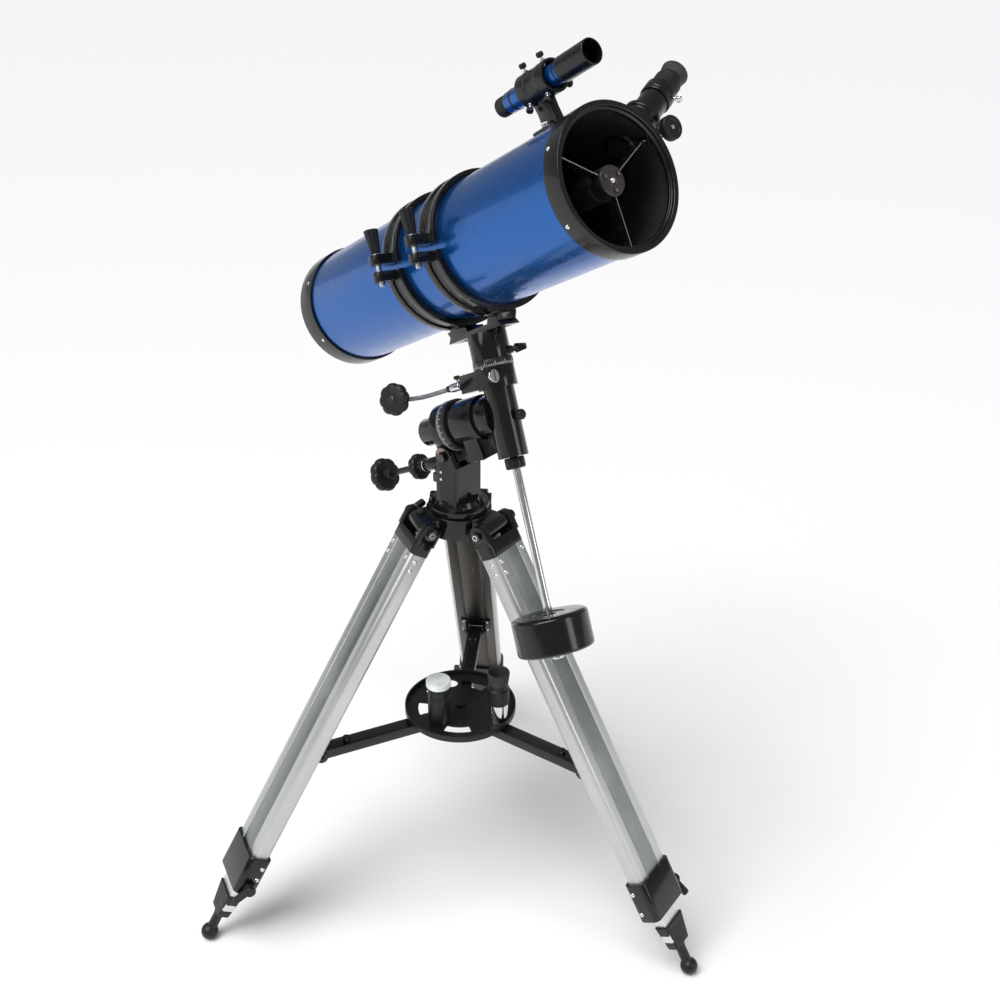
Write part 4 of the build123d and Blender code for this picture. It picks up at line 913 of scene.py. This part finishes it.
# ---------------------------------------------------------------- dials and small bright pieces of the mount
DEC_DIAL = dial("dec_dial", HEAD, 29.2, 66.0, 75.6, 72, 6)
RA_DIAL = dial("ra_dial", RA, 38.0, -7.0, 7.0, 96, 4)
bits = Build()
cap = DECB @ move(0, WORM_Y, WORM_Z) @ TO_X
disc = soften([(0, 18.2), (9.2, 18.2), (9.7, 19), (9.7, 21.8), (8.9, 22.7), (0, 22.7)], 0.4, 3)
bits.lathe(cap, disc, CHROME, 96)
bits.prism(cap, [(-8, -0.9), (8, -0.9), (8, 0.9), (-8, 0.9)], 22.0, 22.8, FLAT_BLACK, 0.1)
for x, y in ((-32, -32), (8, -32)):
    cross_screw(bits, DECB @ move(x, y, 64), 2.3, 1.4, CHROME)
bits.done("dec_bright_parts", "dec_housing", "chrome")

plate = Build()
plate_frame = BASE @ move(-6, -28, 797) @ turn(90, "X")
sector = []
for radius, angles in ((9, range(80, 171, 10)), (14.4, range(170, 79, -10))):
    sector += [(radius * math.cos(math.radians(a)), radius * math.sin(math.radians(a))) for a in angles]
plate.prism(plate_frame, sector[::-1], 0.1, 0.8, SCALE_PLATE, 0.05)
for x, y in ((-4, -26), (-4, -38)):
    plate.lathe(plate_frame @ move(x, y, 0), [(2.6, 0), (2.4, 1.1), (1.6, 1.8), (0, 2.1)], CHROME, 32)
plate.done("latitude_scale", "azimuth", "chrome")

pointer = Build()
arrow = [(-3, 22), (3, 22), (3, 14), (0, 8.6), (-3, 14)]
pointer.prism(RA @ move(0, -37.6, 0) @ turn(90, "X"), arrow, 0.0, 1.2, CHROME, 0.2)
cross_screw(pointer, RA @ move(0, -38.7, 18.6) @ turn(90, "X"), 2.0, 1.2, STEEL)
for x, z in ((-20, 29), (20, 29), (-20, 47), (20, 47)):
    cross_screw(pointer, RA @ move(x, -55, z) @ turn(90, "X"), 2.4, 1.4, CHROME)
pointer.done("ra_pointer", "ra_housing", "chrome")

cable_ends = Build()
sleeve = DECB @ move(-66.3, WORM_Y, WORM_Z) @ turn(-90, "Y")
cable_ends.lathe(sleeve, soften([(0, 0.2), (5.0, 0.2), (5.0, 7), (4.2, 9), (3.4, 9.4)], 0.6, 3), SHEET, 64)
cable_ends.done("cable_ferrule", "dec_housing", "cable_grey")

# ---------------------------------------------------------------- materials of the kept CAD pieces


def cable_sheath(name, color):
    """Wound sheath: fine rings along the cable."""
    n = Nodes(name)
    x, y = n.local(DECB)[:2]
    wave = n.maths("SINE", n.maths("MULTIPLY", n.maths("ADD", x, n.maths("MULTIPLY", y, 0.6)), 3600.0))
    base = n.mix(n.ramp(wave, -1, 1), [c * 0.6 for c in color], color)
    base = n.mix(n.ramp(n.noise(90, 6), 0.4, 0.7, 0, 0.4), base, (0.1, 0.1, 0.1))
    return n.finish(base, n.ramp(n.noise(120, 5), 0.3, 0.7, 0.32, 0.5), n.bump(wave, 0.5, 0.0004), 0.6)


KEPT = {
    "tripod_head": CAST, "azimuth_base": CAST, "ra_housing": CAST, "dec_housing": CAST, "dec_head": CAST,
    "mount_bolts": DARK_STEEL, "ra_worm": STEEL, "ra_setting_circle": RA_DIAL, "dec_setting_circle": DEC_DIAL,
    "dec_lock_lever": CAST, "ra_lock_knob": PLASTIC, "saddle_plate": CAST, "ring_lower_halves": TRIM,
    "ring_upper_rear": TRIM, "ring_upper_front": TRIM, "accessory_tray": PLASTIC,
    "dec_cable": cable_sheath("cable_sheath", (0.34, 0.35, 0.37)),
}
for name, azimuth in LEG_AZIMUTHS.items():
    LEG = placed(*leg_axes(azimuth))
    KEPT[f"leg_{name}_castings"] = CAST
    KEPT[f"leg_{name}_foot"] = PLASTIC
    KEPT[f"spreader_arm_{name}"] = SHEET
    # the last colour is painted shade on the leg's inner face, standing in for the shade that face is in
    KEPT[f"leg_{name}_channel"] = extrusion(
        f"leg_anodised_{name}", LEG, (0.25, 0.285, 0.255), (0.60, 0.61, 0.59), (0.32, 0.44), 0.0172,
        (0.062, 0.052, 0.044))
    KEPT[f"leg_{name}_extension"] = extrusion(
        f"extension_anodised_{name}", LEG, (0.72, 0.73, 0.72), (0.76, 0.77, 0.76), (0.26, 0.38), 0.01)
BEVEL = {"tripod_head": 1.4, "azimuth_base": 1.4, "ra_housing": 1.2, "dec_housing": 1.2, "dec_head": 1.0,
         "saddle_plate": 1.0, "accessory_tray": 0.8, "dec_cable": 0.1, "ra_setting_circle": 0.5,
         "dec_setting_circle": 0.5}
for node, material in KEPT.items():
    piece = nodes[node]
    piece.data.materials.clear()
    piece.data.materials.append(material)
    weld = piece.modifiers.new("weld", "WELD")
    weld.merge_threshold = 0.00001
    bevel = piece.modifiers.new("bevel", "BEVEL")
    bevel.width = BEVEL.get(node, 0.8) * MM
    bevel.segments = 3
    bevel.limit_method = "ANGLE"
    bevel.angle_limit = math.radians(35)
    bevel.harden_normals = True
    bevel.use_clamp_overlap = True
    piece.data.polygons.foreach_set("use_smooth", [True] * len(piece.data.polygons))

# ---------------------------------------------------------------- floor, light and camera
floor_mesh = bpy.data.meshes.new("floor")
FLOOR = 90
floor_mesh.from_pydata([(-FLOOR, -FLOOR, 0), (FLOOR, -FLOOR, 0), (FLOOR, FLOOR, 0), (-FLOOR, FLOOR, 0)], [],
                       [(0, 1, 2, 3)])
floor = bpy.data.objects.new("floor", floor_mesh)
bpy.context.scene.collection.objects.link(floor)
floor_nodes = Nodes("floor_paint")
floor_mesh.materials.append(floor_nodes.finish(
    floor_nodes.mix(floor_nodes.ramp(floor_nodes.noise(40, 3), 0.3, 0.7), (0.925, 0.915, 0.92),
                    (0.93, 0.92, 0.925)), 0.8))

world = bpy.data.worlds.new("studio")
bpy.context.scene.world = world
world.use_nodes = True
sky = world.node_tree.nodes["Background"]
sky.inputs["Color"].default_value = (0.96, 0.98, 1.0, 1.0)
# the backdrop looks brighter than it lights the object
seen = world.node_tree.nodes.new("ShaderNodeLightPath").outputs["Is Camera Ray"]
level = world.node_tree.nodes.new("ShaderNodeMapRange")
level.inputs["To Min"].default_value = 0.3
level.inputs["To Max"].default_value = 0.95
world.node_tree.links.new(seen, level.inputs["Value"])
world.node_tree.links.new(level.outputs["Result"], sky.inputs["Strength"])


def area_light(name, at, target, size, power):
    data = bpy.data.lights.new(name, "AREA")
    data.shape = "RECTANGLE"
    data.size, data.size_y = size
    data.energy = power
    lamp = bpy.data.objects.new(name, data)
    bpy.context.scene.collection.objects.link(lamp)
    lamp.location = at
    lamp.rotation_euler = (Vector(target) - Vector(at)).to_track_quat("-Z", "Y").to_euler()


sun_data = bpy.data.lights.new("sun", "SUN")
sun_data.energy = 2.6
sun_data.angle = math.radians(45)
sun = bpy.data.objects.new("sun", sun_data)
bpy.context.scene.collection.objects.link(sun)
sun.rotation_euler = Vector((0.55, 0.5, -1.5)).to_track_quat("-Z", "Y").to_euler()
area_light("key", (-2.6, -2.4, 3.2), (0, 0, 0.9), (1.2, 2.2), 28)
area_light("right", (3.2, -1.8, 1.6), (0, 0, 0.8), (1.0, 2.0), 22)

camera_data = bpy.data.cameras.new("camera")
camera_data.sensor_width = 36.0
camera_data.lens = 44.16
camera_data.clip_end = 100
camera = bpy.data.objects.new("camera", camera_data)
bpy.context.scene.collection.objects.link(camera)
yaw, pitch, roll = -0.079, -0.484, 0.010
forward = Vector((math.sin(yaw) * math.cos(pitch), math.cos(yaw) * math.cos(pitch), math.sin(pitch)))
right = Vector((math.cos(yaw), -math.sin(yaw), 0))
above = right.cross(forward)
right, above = (right * math.cos(roll) + above * math.sin(roll),
                above * math.cos(roll) - right * math.sin(roll))
eye = Vector((0.192474, -1.639741, 1.584308))
camera.matrix_world = Matrix([(right[i], above[i], -forward[i], eye[i]) for i in range(3)] + [(0, 0, 0, 1)])
bpy.context.scene.camera = camera
bpy.context.scene.view_settings.view_transform = "Standard"
